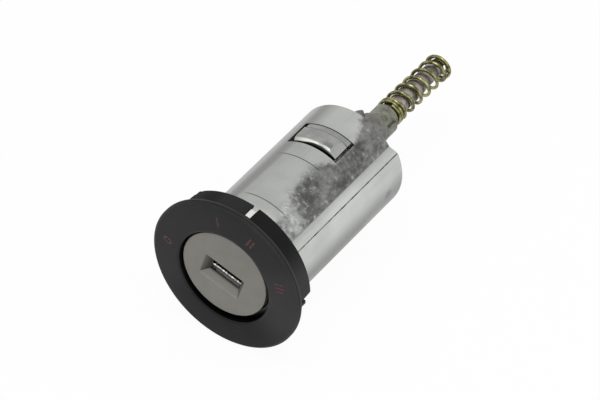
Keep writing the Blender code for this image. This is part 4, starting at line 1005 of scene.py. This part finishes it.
def make_brass():
    """Stamped brass, tarnished unevenly."""
    colour = (0.70, 0.52, 0.25)
    finish = Finish("stamped_brass", colour, 1.0, 0.32)
    grain = finish.grain(3500.0, 500.0)
    finish.feed("Base Color", finish.mix(finish.span(grain["Mask"], 0.3, 0.7), shade(colour, 0.7), colour))
    finish.feed("Normal", finish.bump(grain["Height"], 0.2, 0.00003))


class LOCK_OT_finishes(bpy.types.Operator):
    """Makes the shared groups and every finish of the lock"""
    bl_idname = "lock.finishes"
    bl_label = "Finishes"

    def execute(self, context):
        scene = context.scene
        make_place_group()
        make_grain_group()
        make_cast_group()
        make_scuff_group()
        make_bezel_plastic(scene.lock_bezel)
        make_dial_print(scene.lock_marks.colour[:])
        make_cap_satin(scene.lock_cap)
        make_housing_zinc(scene.lock_housing.colour[:], scene.lock_housing.rib_start)
        make_catch_zinc(scene.lock_housing.colour[:], scene.lock_catch, scene.lock_housing)
        make_driver_zinc(scene.lock_tail.driver_colour[:])
        make_plated_wire(scene.lock_tail.spring_colour[:])
        make_pin_steel(scene.lock_tail.pin_colour[:])
        make_bright_steel()
        make_shutter_steel(scene.lock_cap)
        make_brass()
        return {"FINISHED"}


class LOCK_OT_bezel(bpy.types.Operator):
    """Makes the dial ring with its stepped rim, its cut-down skirt, snap lugs and notch"""
    bl_idname = "lock.bezel"
    bl_label = "Bezel"

    skirt_sectors = ((-37.0, 89.0), (141.0, 159.0), (261.0, 279.0))
    lug_clocks = (45.0, 150.0, 270.0)
    nib_clocks = (90.9, 93.7)
    end_depth = 0.0018
    end_cuts = 6
    end_turn = 1.25

    def execute(self, context):
        size = context.scene.lock_bezel
        steps = context.scene.lock_stage.segments
        rear = BEZEL_HIGH.y
        outer = size.radius - size.skirt_step
        rear_outer = outer - size.skirt_draft
        inner = rear_outer - size.skirt_wall
        profile = soften(
            [
                (rear_outer, rear, 0.00015),
                (outer, size.thickness, 0.0001),
                (size.radius - 0.0002, size.thickness, 0.00015),
                (size.radius, size.thickness - 0.0003, 0.00015),
                (size.radius, 0.0011, 0.00005),
                (size.radius - size.groove, 0.0010, 0.00005),
                (size.radius - size.groove, 0.0008, 0.00005),
                (size.radius, 0.0007, 0.00005),
                (size.radius, 0.0006, 0.0003),
                (size.radius - DIAL_EDGE, 0.0, 0.0005),
                (size.hole + size.crown, -size.crown, 0.0003),
                (size.hole, -0.5 * size.crown, 0.00015),
                (size.hole, size.thickness, 0.0001),
                (inner, size.thickness, 0.0002),
                (inner, rear, 0.00015),
            ],
            0.0002,
        )
        ring = turned(profile, steps)
        foot = size.thickness + size.skirt_foot
        within = inner - CLEAR
        beyond = outer + CLEAR
        gap = [(within, foot), (beyond, foot), (beyond, rear + CLEAR), (within, rear + CLEAR)]
        following = self.skirt_sectors[1:] + self.skirt_sectors[:1]
        for (_, start), (end, _) in zip(self.skirt_sectors, following):
            end = end if end > start else end + 360.0
            cut = swept(gap, math.radians(start), math.radians(end), round((end - start) / 2.0))
            ring = combine(ring, cut)
        ring = self.with_round_end(ring, gap, rear)
        ring = self.with_snaps(ring, size, inner, rear_outer, outer, foot)
        place = 0.5 * (BEZEL_LOW + BEZEL_HIGH)
        bmesh.ops.translate(ring, vec=(place.x, 0.0, place.z), verts=ring.verts)
        half = 0.5 * size.notch
        low = (-half, size.thickness + 0.0007, within)
        high = (half, rear + CLEAR, beyond)
        ring = combine(ring, block(low, high, size.notch_clock))
        add_piece("dial_bezel", ring, "housing", "bezel_plastic_fine", ("bezel",))
        return {"FINISHED"}

    def with_round_end(self, ring, gap, rear):
        """Rounds the skirt's first end by small cuts, each shallower than the one before."""
        first = self.skirt_sectors[0][0]
        for step in range(self.end_cuts):
            left = 1.0 - step / self.end_cuts
            depth = self.end_depth * (1.0 - math.sqrt(1.0 - left**2 * 0.98)) + 0.00002
            corner = [(radius, max(along, rear - depth)) for radius, along in gap]
            start = first - 1.0 if step == 0 else first + self.end_turn * step
            end = first + self.end_turn * (step + 1) + 0.01 * step
            ring = combine(ring, swept(corner, math.radians(start), math.radians(end), 2))
        return ring

    def with_snaps(self, ring, size, inner, rear_outer, outer, foot):
        """The lugs that catch the head's groove, and the nib on the cut-down skirt."""
        middle = 0.5 * (inner + rear_outer)
        tip = inner - size.lug_reach
        rear = BEZEL_HIGH.y - 0.0014
        lug = [(tip, rear - 0.0005), (middle, rear - 0.0005), (middle, rear + 0.0006), (tip, rear)]
        for clock in self.lug_clocks:
            ring = combine(ring, swept(lug, math.radians(clock - 5.0), math.radians(clock + 5.0), 6), "UNION")
        low = foot - 0.5 * size.skirt_foot
        nib = [(middle, low), (outer, low), (outer, foot + 0.0013), (middle, foot + 0.0013)]
        start, end = self.nib_clocks
        return combine(ring, swept(nib, math.radians(start), math.radians(end), 2), "UNION")


class LOCK_OT_dial_marks(bpy.types.Operator):
    """Prints the marks 0, I, II and III on the dial's sloping face"""
    bl_idname = "lock.dial_marks"
    bl_label = "Dial marks"

    places = (
        ("mark_0", 0, -78.8, 0.0158, 12.0),
        ("mark_1", 1, -5.0, 0.0156, -10.0),
        ("mark_2", 2, 29.4, 0.0155, 0.0),
        ("mark_3", 3, 76.0, 0.0160, 8.0),
    )

    def execute(self, context):
        size = context.scene.lock_marks
        bezel = context.scene.lock_bezel
        foot = bezel.radius - DIAL_EDGE
        slope = math.atan(bezel.crown / (foot - bezel.hole - bezel.crown))
        seat = 0.5 * (BEZEL_LOW + BEZEL_HIGH)
        for name, strokes, clock, radius, tip in self.places:
            bm = self.bars(size, strokes) if strokes else self.oval(size)
            spot = around(radius, math.radians(clock), 0.0)
            out = math.hypot(spot.x - seat.x, spot.z - seat.z)
            lean = Matrix.Rotation(-slope, 4, "X")
            front = -(foot - out) * math.tan(slope) - 0.4 * size.print_depth
            raise_out = Matrix.Translation((0.0, front, radius))
            turn = Matrix.Rotation(math.radians(clock), 4, "Y")
            own_turn = Matrix.Rotation(math.radians(tip), 4, "Y")
            bmesh.ops.transform(bm, matrix=turn @ raise_out @ lean @ own_turn, verts=bm.verts)
            bmesh.ops.recalc_face_normals(bm, faces=bm.faces)
            add_piece(name, bm, "housing", "dial_print")
        return {"FINISHED"}

    def bars(self, size, strokes):
        """Upright strokes side by side."""
        bm = bmesh.new()
        for number in range(strokes):
            x = (number - 0.5 * (strokes - 1)) * size.pitch
            scale = Matrix.Diagonal((size.stroke, size.print_depth, size.height, 1.0))
            bmesh.ops.create_cube(bm, size=1.0, matrix=Matrix.Translation((x, 0.0, 0.0)) @ scale)
        return bm

    def oval(self, size):
        """An upright oval ring."""
        half = 0.5 * size.height
        profile = [
            (half - size.stroke, -0.5 * size.print_depth),
            (half, -0.5 * size.print_depth),
            (half, 0.5 * size.print_depth),
            (half - size.stroke, 0.5 * size.print_depth),
        ]
        bm = turned(profile, 40)
        bmesh.ops.scale(bm, vec=(0.72, 1.0, 1.0), verts=bm.verts)
        return bm


class LOCK_OT_housing(bpy.types.Operator):
    """Makes the casting: head, barrel, rib with its seam, bore, catch window and locating key"""
    bl_idname = "lock.housing"
    bl_label = "Housing"

    key_rear = 0.00525
    key_top = 0.0186
    groove_front = 0.0072
    groove_rear = 0.0360
    groove_half = 0.0039
    groove_depth = 0.0018
    tab_half = 0.0038
    tab_top = 0.01255
    tab_reach = 0.0007
    rear_bevel = 0.0007

    def execute(self, context):
        size = context.scene.lock_housing
        steps = context.scene.lock_stage.segments
        casting = prism(self.section(size), size.head_rear - CLEAR, HOUSING_HIGH.y)
        rim = [edge for edge in casting.edges if all(self.at_rear(vert) for vert in edge.verts)]
        bmesh.ops.bevel(
            casting, geom=rim, offset=self.rear_bevel, segments=5, profile=0.5, affect="EDGES", material=-1
        )
        casting = combine(casting, turned(self.head(size), steps), "UNION")
        casting = combine(casting, turned(self.bore(size), steps, closed=False))
        half = 0.5 * size.key_width
        low = (-half, HOUSING_LOW.y + 0.0003, size.head_radius - CLEAR)
        key = block(low, (half, self.key_rear, self.key_top), context.scene.lock_bezel.notch_clock)
        casting = combine(casting, key, "UNION")
        low = (0.8 * size.bore, self.groove_front, -self.groove_half)
        high = (size.bore + self.groove_depth, self.groove_rear, self.groove_half)
        casting = combine(casting, block(low, high, context.scene.lock_cap.tilt))
        casting = self.with_window(casting, size)
        add_piece("lock_housing", casting, "housing", "housing_zinc", ("housing",))
        return {"FINISHED"}

    def at_rear(self, vert):
        """Whether a point lies in the casting's rear face."""
        return HOUSING_HIGH.y - vert.co.y < MERGE

    def section(self, size):
        """The outline (x, z) of barrel and rib, with rounded feet and a seam at the rib's first shoulder."""
        start = size.rib_start
        end = size.rib_end
        top = size.barrel_radius + size.rib_height
        first_foot = around(size.barrel_radius, start - size.rib_flank, 0.0)
        last_foot = around(size.barrel_radius, end + size.rib_flank, 0.0)
        lip = around(top - 0.4 * size.seam_depth, start - size.seam_half, 0.0)
        seam = around(top - size.seam_depth, start, 0.0)
        far_shoulder = around(top, end, 0.0)
        corners = [(first_foot.x, first_foot.z, 0.0004), (lip.x, lip.z, 0.0), (seam.x, seam.z, 0.0)]
        corners += self.still(arc(top, start + size.seam_half, end - 2.0 * size.seam_half, 72)[:-1])
        corners += [(far_shoulder.x, far_shoulder.z, 0.0006), (last_foot.x, last_foot.z, 0.0004)]
        round_from = end + size.rib_flank
        round_to = start - size.rib_flank + 2.0 * math.pi
        corners += self.still(arc(size.barrel_radius, round_from, round_to, 136)[1:-1])
        return soften(corners, 0.0, 5)

    def still(self, points):
        """Points that soften leaves alone."""
        return [(x, z, 0.0) for x, z in points]

    def head(self, size):
        """The head's section beside its axis: a ring with the groove for the bezel's lugs."""
        front = HOUSING_LOW.y
        radius = size.head_radius
        groove_front = 0.00445
        groove_rear = 0.00615
        groove_radius = 0.0159
        return soften(
            [
                (size.barrel_radius - CLEAR, size.head_rear),
                (radius - 0.0002, size.head_rear, 0.0003),
                (radius - 0.0002, groove_rear, 0.0),
                (groove_radius, groove_rear, 0.0001),
                (groove_radius, groove_front, 0.0001),
                (radius, groove_front, 0.0),
                (radius, front, 0.0004),
                (size.barrel_radius - CLEAR - 0.0013, front, 0.0),
            ],
            0.0,
            4,
        )

    def bore(self, size):
        """What is bored out: the cap's seat, the plug's bore and the hole at the rear."""
        seat = CAP_HIGH.x + 0.0003
        seat_rear = CAP_HIGH.y + 0.0003
        step = HOUSING_HIGH.y - 0.0026
        hole = 0.0063
        return [
            (0.0, HOUSING_LOW.y - CLEAR),
            (seat, HOUSING_LOW.y - CLEAR),
            (seat, seat_rear),
            (size.bore, seat_rear),
            (size.bore, step),
            (hole, step),
            (hole, HOUSING_HIGH.y + CLEAR),
            (0.0, HOUSING_HIGH.y + CLEAR),
        ]

    def with_window(self, casting, size):
        """Cuts the window that the catch stands in, and the undercut that holds its tabs."""
        rear = size.window_front + size.window_length
        side = math.asin(size.window_half / size.window_floor)
        high = 2.0 * size.barrel_radius
        outline = arc(size.window_floor, -side, side, 24)
        outline += [(size.window_half, high), (-size.window_half, high)]
        casting = combine(casting, prism(outline, size.window_front, rear))
        side = math.asin(self.tab_half / size.window_floor)
        far = math.asin(self.tab_half / self.tab_top)
        under = arc(size.window_floor, -side, side, 12) + arc(self.tab_top, far, -far, 12)
        return combine(casting, prism(under, size.window_front - self.tab_reach, rear + self.tab_reach))


class LOCK_OT_catch(bpy.types.Operator):
    """Makes the sprung catch with its rounded nose, stepped rear edge and sloping end"""
    bl_idname = "lock.catch"
    bl_label = "Retaining catch"

    tab_top = 0.01225
    tab_foot_half = 0.276
    tab_top_half = 0.262

    def execute(self, context):
        size = context.scene.lock_catch
        window = context.scene.lock_housing
        front, rear = catch_ends(size, window)
        height = size.top - size.under
        ledge = rear - size.ledge
        profile = soften(
            [
                (size.under, front, 0.0002),
                (size.under, rear, 0.0002),
                (size.top - size.ledge_drop, rear, 0.00015),
                (size.top - size.ledge_drop, ledge + 0.00012, 0.00008),
                (size.top, ledge, 0.00008),
                (size.top, front + size.nose, 0.0005),
                (size.top - 0.20 * height, front + 0.36 * size.nose, 0.0004),
                (size.top - 0.40 * height, front, 0.0003),
            ],
            0.0002,
            9,
        )
        side = math.asin(size.half_width / size.top)
        bm = swept(profile, -math.asin((size.half_width - size.left_trim) / size.top), side, 48)
        slice_off(bm, catch_facet(size, front, rear), (0.0, -0.3, 1.0))
        round_edges(bm, 0.00009)
        under = arc(size.under, -self.tab_foot_half, self.tab_foot_half, 12)
        under += arc(self.tab_top, self.tab_top_half, -self.tab_top_half, 12)
        bm = combine(bm, prism(under, CATCH_LOW.y, CATCH_HIGH.y), "UNION")
        add_piece("catch_slide", bm, "catch", "catch_zinc", ("retaining_catch",), 9.0)
        return {"FINISHED"}


class LOCK_OT_face_cap(bpy.types.Operator):
    """Makes the satin cup with the funnel that leads the key into its slot"""
    bl_idname = "lock.face_cap"
    bl_label = "Face cap"

    def execute(self, context):
        size = context.scene.lock_cap
        inner = size.radius - size.skirt
        crimp = CAP_HIGH.y - 0.00035
        lip = inner - 0.0006
        profile = soften(
            [
                (0.0, size.wall),
                (inner, size.wall, 0.0002),
                (inner, crimp, 0.0001),
                (lip, crimp, 0.0001),
                (lip, CAP_HIGH.y, 0.0001),
                (size.radius, CAP_HIGH.y, 0.0002),
                (size.radius, 0.0, size.edge),
                (0.0, 0.0),
            ],
            0.0002,
            4,
            closed=False,
        )
        cup = turned(profile, context.scene.lock_stage.segments, closed=False)
        cup = combine(cup, self.funnel(size))
        half_length = 0.5 * size.slot_length
        half_width = 0.5 * size.slot_width
        low = (size.slot_shift - half_length, 0.5 * size.wall, -size.slot_drop - half_width)
        high = (size.slot_shift + half_length, size.wall + CLEAR, half_width - size.slot_drop)
        cup = combine(cup, block(low, high, size.tilt))
        add_piece("key_face", cup, "plug", "cap_satin_fine", ("face_cap",))
        return {"FINISHED"}

    def funnel(self, size):
        """The tapered mouth, drawn a little in front of the face so that it cuts cleanly."""
        bm = bmesh.new()
        bmesh.ops.create_cube(bm, size=2.0)
        over = 0.25
        slope_length = 0.5 * (size.funnel_length - size.slot_length)
        slope_width = 0.5 * (size.funnel_width - size.slot_width)
        for vert in bm.verts:
            front = vert.co.y < 0.0
            half_length = 0.5 * size.funnel_length + over * slope_length if front else 0.5 * size.slot_length
            half_width = 0.5 * size.funnel_width + over * slope_width if front else 0.5 * size.slot_width
            along = -over * size.wall if front else size.wall
            across = vert.co.z * half_width - size.slot_drop
            step = size.mouth_shift - size.slot_shift
            shift = size.mouth_shift + over * step if front else size.slot_shift
            vert.co = (shift + vert.co.x * half_length, along, across)
        bmesh.ops.rotate(bm, cent=(0.0, 0.0, 0.0), matrix=Matrix.Rotation(size.tilt, 3, "Y"), verts=bm.verts)
        return bm


class LOCK_OT_driver(bpy.types.Operator):
    """Makes the cast driver: tongue, cam, hub, dog and sleeve, blended as a casting is"""
    bl_idname = "lock.driver"
    bl_label = "Driver"

    bore = 0.0024
    bore_depth = 0.0093
    collar = 0.0049
    collar_length = 0.0026
    lobe_root = 0.0027

    def execute(self, context):
        size = context.scene.lock_tail
        tilt = context.scene.lock_cap.tilt
        rear = DRIVER_HIGH.y
        collar_rear = HUB_FRONT + self.collar_length
        profile = soften(
            [
                (0.0, rear - self.bore_depth),
                (self.bore, rear - self.bore_depth, 0.0001),
                (self.bore, rear, 0.0002),
                (size.sleeve, rear, 0.00035),
                (size.sleeve, HUB_REAR, 0.0004),
                (size.hub, HUB_REAR, 0.0004),
                (size.hub, collar_rear, 0.0004),
                (self.collar, collar_rear, 0.0004),
                (self.collar, HUB_FRONT, 0.0003),
                (0.0, HUB_FRONT),
            ],
            0.0003,
            4,
            closed=False,
        )
        body = turned(profile, 96, closed=False)
        cam = (0.0061, math.radians(-75.0), math.radians(55.0), HUB_FRONT + 0.0003, HUB_FRONT + 0.0034)
        dog = (0.0041, math.radians(108.0), math.radians(36.0), HUB_FRONT + 0.0020, HUB_FRONT + 0.0089)
        for radius, clock, half, front, end in (cam, dog):
            outline = arc(radius, clock - half, clock + half, 32)
            outline += arc(self.lobe_root, clock + half, clock - half, 16)
            lobe = prism(outline, front, end)
            round_edges(lobe, 0.0007, 4, 60.0)
            body = combine(body, lobe, "UNION")
        tongue = block((-0.0047, DRIVER_LOW.y, -0.0015), (0.0047, HUB_FRONT + CLEAR, 0.0015), tilt)
        round_edges(tongue, 0.0003, 3, 60.0)
        body = combine(body, tongue, "UNION")
        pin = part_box("driver_pin")
        across = bmesh.new()
        middle = 0.5 * (pin[0] + pin[1])
        place = Matrix.Translation((0.0, middle.y, 0.0)) @ Matrix.Rotation(tilt, 4, "Y")
        bmesh.ops.create_cone(
            across, cap_ends=True, segments=32, radius1=0.0011, radius2=0.0011, depth=0.014, matrix=place
        )
        body = combine(body, across)
        add_piece("cast_driver", body, "plug", "driver_zinc_fine", ("driver",), 50.0)
        return {"FINISHED"}


class LOCK_OT_tail(bpy.types.Operator):
    """Makes the tail pin and the open spring that runs on it"""
    bl_idname = "lock.tail"
    bl_label = "Tail pin and spring"

    close_pitch = 0.00088
    steps = 40
    lean = 0.00035
    lean_clock = math.radians(125.0)
    start_clock = math.radians(18.0)

    def execute(self, context):
        size = context.scene.lock_tail
        radius = 0.5 * (PIN_HIGH.x - PIN_LOW.x)
        profile = soften(
            [
                (0.0, PIN_HIGH.y),
                (radius, PIN_HIGH.y, 0.0011),
                (radius, PIN_HIGH.y - 0.0060, 0.0015),
                (size.shank, PIN_HIGH.y - 0.0110, 0.0015),
                (size.shank, DRIVER_HIGH.y + 0.0001, 0.0001),
                (radius, DRIVER_HIGH.y + 0.0001, 0.0),
                (radius, PIN_LOW.y, 0.0002),
                (0.0, PIN_LOW.y),
            ],
            0.0003,
            6,
            closed=False,
        )
        pin = turned(profile, 64, closed=False)
        add_piece("guide_pin", pin, "plug", "pin_steel_fine", ("tail_pin",))
        self.spring(size)
        return {"FINISHED"}

    def height(self, size, turns):
        """How far along a number of turns reaches: close, then open, then close."""
        base = min(turns, size.base_turns)
        active = min(max(turns - size.base_turns, 0.0), size.open_turns)
        end = min(max(turns - size.base_turns - size.open_turns, 0.0), size.end_turns)
        reach = SPRING_HIGH.y - SPRING_LOW.y - 2.0 * size.wire - 0.00003
        open_pitch = (reach - (size.base_turns + size.end_turns) * self.close_pitch) / size.open_turns
        return (base + end) * self.close_pitch + active * open_pitch

    def spring(self, size):
        """The coil, as a wire along a helix that leans a little."""
        outer_turns = size.base_turns + size.open_turns + size.end_turns
        turns = outer_turns + size.inner_turns
        curve = bpy.data.curves.new("coil_guide", "CURVE")
        curve.dimensions = "3D"
        curve.bevel_depth = size.wire
        curve.bevel_resolution = 4
        curve.use_fill_caps = True
        spline = curve.splines.new("POLY")
        count = round(turns * self.steps)
        spline.points.add(count)
        for i, point in enumerate(spline.points):
            done = turns * i / count
            high = self.height(size, done)
            share = high / self.height(size, turns)
            inside = max(done - outer_turns, 0.0) / size.inner_turns
            middle = size.coil - size.wire - min(1.0, 1.6 * inside) * 3.2 * size.wire
            spot = around(middle, self.start_clock + 2.0 * math.pi * done, SPRING_LOW.y + size.wire + high)
            point.co = (*(spot + around(self.lean * share, self.lean_clock, 0.0)), 1.0)
        guide = bpy.data.objects.new("coil_guide", curve)
        bpy.context.scene.collection.objects.link(guide)
        wire = bpy.data.meshes.new_from_object(guide.evaluated_get(bpy.context.evaluated_depsgraph_get()))
        bm = bmesh.new()
        bm.from_mesh(wire)
        bpy.data.objects.remove(guide, do_unlink=True)
        bpy.data.meshes.remove(wire)
        bmesh.ops.remove_doubles(bm, verts=bm.verts, dist=MERGE)
        add_piece("return_coil", bm, "plug", "yellow_zinc_fine", ("tail_spring",), 60.0)


class LOCK_OT_shutter(bpy.types.Operator):
    """Makes the steel flap in the key slot, with small teeth along its free edge"""
    bl_idname = "lock.shutter"
    bl_label = "Dust shutter"

    def execute(self, context):
        size = context.scene.lock_cap
        bm = node_shape("shutter")
        across = plug_direction(1.0, 0.0, size.tilt)
        down = plug_direction(0.0, 1.0, size.tilt)
        top = [vert.co.copy() for vert in bm.verts if down.dot(vert.co) < flap_edge(size) + 0.0003]
        if len(top) < 4:
            raise RuntimeError("the flap's free edge isn't where the slot's settings place it")
        left = min(across.dot(point) for point in top)
        right = max(across.dot(point) for point in top)
        front = min(point.y for point in top)
        rear = max(point.y for point in top)
        foot = flap_edge(size) + size.flap_trim + size.tooth_depth
        thick = 0.8 * (rear - front)
        level = (foot + thick) * down
        slice_off(bm, (level, level + across, level + LOCK_AXIS), -down)
        strip = prism(self.teeth(size, left, right, foot), front, front + thick)
        middle = front + 0.5 * thick
        ahead = [vert for vert in strip.verts if vert.co.y < middle and down.dot(vert.co) < foot + 0.0001]
        bmesh.ops.translate(strip, vec=thick * down, verts=ahead)
        mesh = bpy.data.meshes.new("teeth")
        strip.to_mesh(mesh)
        bm.from_mesh(mesh)
        bpy.data.meshes.remove(mesh)
        add_piece("dust_shutter", bm, "shutter", "shutter_steel", ("shutter",), 30.0)
        return {"FINISHED"}

    def teeth(self, size, left, right, foot):
        """The outline (x, z) of the toothed strip along the flap's free edge."""
        count = 2 * round((right - left) / size.tooth)
        outline = [on_plug(left, foot + 0.0004, size.tilt), on_plug(right, foot + 0.0004, size.tilt)]
        for i in range(count + 1):
            deep = -0.00002 if i % 2 else size.tooth_depth
            outline.append(on_plug(right + (left - right) * i / count, foot - deep, size.tilt))
        return outline


class LOCK_OT_inner_pieces(bpy.types.Operator):
    """Dresses the plug, wafers, springs, pins, washer and clip"""
    bl_idname = "lock.inner_pieces"
    bl_label = "Inner pieces"

    smooth_copies = (
        ("lock_plug", "plug", "plug", "driver_zinc", "driver_zinc_fine"),
        ("shutter_hinge_pin", "shutter_pin", "plug", "spring_steel", "shutter_steel"),
        ("shutter_torsion_coil", "shutter_spring", "plug", "spring_steel", "shutter_steel"),
        ("catch_leaf", "catch_spring", "housing", "spring_steel", "bright_steel"),
        ("barrel_washer", "rear_washer", "housing", "spring_steel", "bright_steel"),
        ("retaining_clip", "plug_clip", "plug", "spring_steel", "bright_steel"),
        ("driver_cross_pin", "driver_pin", "plug", "spring_steel", "bright_steel"),
    )

    def execute(self, context):
        for name, node, body, slot, finish in self.smooth_copies:
            add_piece(name, node_shape(node), body, finish, (node,))
        for name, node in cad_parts.items():
            if name.startswith("wafer"):
                finish = "bright_steel" if "spring" in name else "stamped_brass"
                node.data.materials.clear()
                node.data.materials.append(bpy.data.materials[finish])
        return {"FINISHED"}


class LOCK_OT_stage(bpy.types.Operator):
    """Makes the pale floor, the soft lamps, the white surround and the camera"""
    bl_idname = "lock.stage"
    bl_label = "Stage"

    def execute(self, context):
        size = context.scene.lock_stage
        context.scene.view_settings.view_transform = "Standard"
        self.floor()
        self.world(context, size)
        self.lamp("soft_top", (0.10, -0.10, 0.75), (0.0, 0.03, 0.0), 0.40, 2.4)
        self.lamp("soft_front", (0.35, -0.65, 0.35), (0.0, 0.02, 0.0), 0.45, 0.9)
        self.lamp("soft_right", (0.65, 0.20, 0.30), (0.0, 0.03, 0.0), 0.40, 0.9)
        self.camera(context, size)
        return {"FINISHED"}

    def floor(self):
        """A plain pale floor just under the dial, white to the camera but for a faint shadow."""
        bm = bmesh.new()
        bmesh.ops.create_grid(bm, x_segments=2, y_segments=2, size=6.0)
        bmesh.ops.translate(bm, vec=(0.0, 0.0, CAD_BOX[0].z - 0.0002), verts=bm.verts)
        mesh = bpy.data.meshes.new("studio_floor")
        bm.to_mesh(mesh)
        bm.free()
        floor = bpy.data.objects.new("studio_floor", mesh)
        bpy.context.scene.collection.objects.link(floor)
        material = bpy.data.materials.new("studio_paper")
        material.use_nodes = True
        graph = Graph(material.node_tree)
        paper = material.node_tree.nodes["Principled BSDF"]
        paper.inputs["Base Color"].default_value = (0.85, 0.85, 0.85, 1.0)
        paper.inputs["Roughness"].default_value = 0.9
        glow = graph.add("ShaderNodeEmission", {"Color": (1.0, 1.0, 1.0, 1.0), "Strength": 1.0})
        seen = graph.times(self.seen(graph), 0.95)
        mixed = graph.add("ShaderNodeMixShader", {0: seen, 1: paper.outputs[0], 2: glow.outputs[0]})
        output = material.node_tree.nodes["Material Output"]
        graph.tree.links.new(mixed.outputs[0], output.inputs["Surface"])
        mesh.materials.append(material)

    def seen(self, graph):
        """One for rays from the camera and in gloss and glass."""
        path = graph.add("ShaderNodeLightPath").outputs
        both = graph.most(path["Is Camera Ray"], path["Is Glossy Ray"])
        return graph.most(both, path["Is Transmission Ray"])

    def world(self, context, size):
        """White where it is seen, and a plain level of light from all round."""
        world = bpy.data.worlds.new("studio_surround")
        context.scene.world = world
        world.use_nodes = True
        graph = Graph(world.node_tree)
        background = world.node_tree.nodes["Background"]
        background.inputs["Color"].default_value = (1.0, 1.0, 1.0, 1.0)
        level = graph.math("MULTIPLY_ADD", self.seen(graph), 1.0 - size.sky, size.sky)
        graph.tree.links.new(level, background.inputs["Strength"])

    def lamp(self, name, place, target, width, power):
        """A square soft lamp turned to a point."""
        light = bpy.data.lights.new(name, "AREA")
        light.shape = "SQUARE"
        light.size = width
        light.energy = power
        lamp = bpy.data.objects.new(name, light)
        lamp.location = place
        direction = Vector(target) - Vector(place)
        lamp.rotation_euler = direction.to_track_quat("-Z", "Y").to_euler()
        bpy.context.scene.collection.objects.link(lamp)

    def camera(self, context, size):
        """The camera at the picture's viewing angle."""
        data = bpy.data.cameras.new("camera")
        data.sensor_width = 36.0
        data.lens = size.lens
        data.clip_start = 0.01
        data.clip_end = 50.0
        camera = bpy.data.objects.new("camera", data)
        level = math.cos(size.elevation)
        across = math.sin(size.azimuth) * level
        along = -math.cos(size.azimuth) * level
        back = Vector((across, along, math.sin(size.elevation)))
        camera.location = Vector(size.look_at) + size.distance * back
        camera.rotation_euler = (-back).to_track_quat("-Z", "Y").to_euler()
        context.scene.collection.objects.link(camera)
        context.scene.camera = camera


SETTINGS = {
    "lock_bezel": BezelSettings,
    "lock_marks": MarkSettings,
    "lock_housing": HousingSettings,
    "lock_catch": CatchSettings,
    "lock_cap": CapSettings,
    "lock_tail": TailSettings,
    "lock_stage": StageSettings,
}
OPERATORS = (
    LOCK_OT_finishes,
    LOCK_OT_bezel,
    LOCK_OT_dial_marks,
    LOCK_OT_housing,
    LOCK_OT_catch,
    LOCK_OT_face_cap,
    LOCK_OT_driver,
    LOCK_OT_tail,
    LOCK_OT_shutter,
    LOCK_OT_inner_pieces,
    LOCK_OT_stage,
)


class LOCK_PT_panel(bpy.types.Panel):
    """Lists the lock's operators and sizes"""
    bl_idname = "LOCK_PT_panel"
    bl_label = "Ignition lock cylinder"
    bl_space_type = "VIEW_3D"
    bl_region_type = "UI"
    bl_category = "Lock"

    def draw(self, context):
        column = self.layout.column(align=True)
        for operator in OPERATORS:
            column.operator(operator.bl_idname)
        for name, group in SETTINGS.items():
            box = self.layout.box()
            for prop in group.__annotations__:
                box.prop(getattr(context.scene, name), prop)


def register():
    """Registers the settings, the operators and the panel."""
    for name, group in SETTINGS.items():
        bpy.utils.register_class(group)
        setattr(bpy.types.Scene, name, PointerProperty(type=group))
    for operator in OPERATORS:
        bpy.utils.register_class(operator)
    bpy.utils.register_class(LOCK_PT_panel)


def unregister():
    """Takes them away again."""
    bpy.utils.unregister_class(LOCK_PT_panel)
    for operator in reversed(OPERATORS):
        bpy.utils.unregister_class(operator)
    for name, group in SETTINGS.items():
        delattr(bpy.types.Scene, name)
        bpy.utils.unregister_class(group)


def main():
    """Builds every piece and the stage."""
    register()
    bpy.ops.lock.finishes()
    bpy.ops.lock.bezel()
    bpy.ops.lock.dial_marks()
    bpy.ops.lock.housing()
    bpy.ops.lock.catch()
    bpy.ops.lock.face_cap()
    bpy.ops.lock.driver()
    bpy.ops.lock.tail()
    bpy.ops.lock.shutter()
    bpy.ops.lock.inner_pieces()
    bpy.ops.lock.stage()


if __name__ == "__main__":
    main()
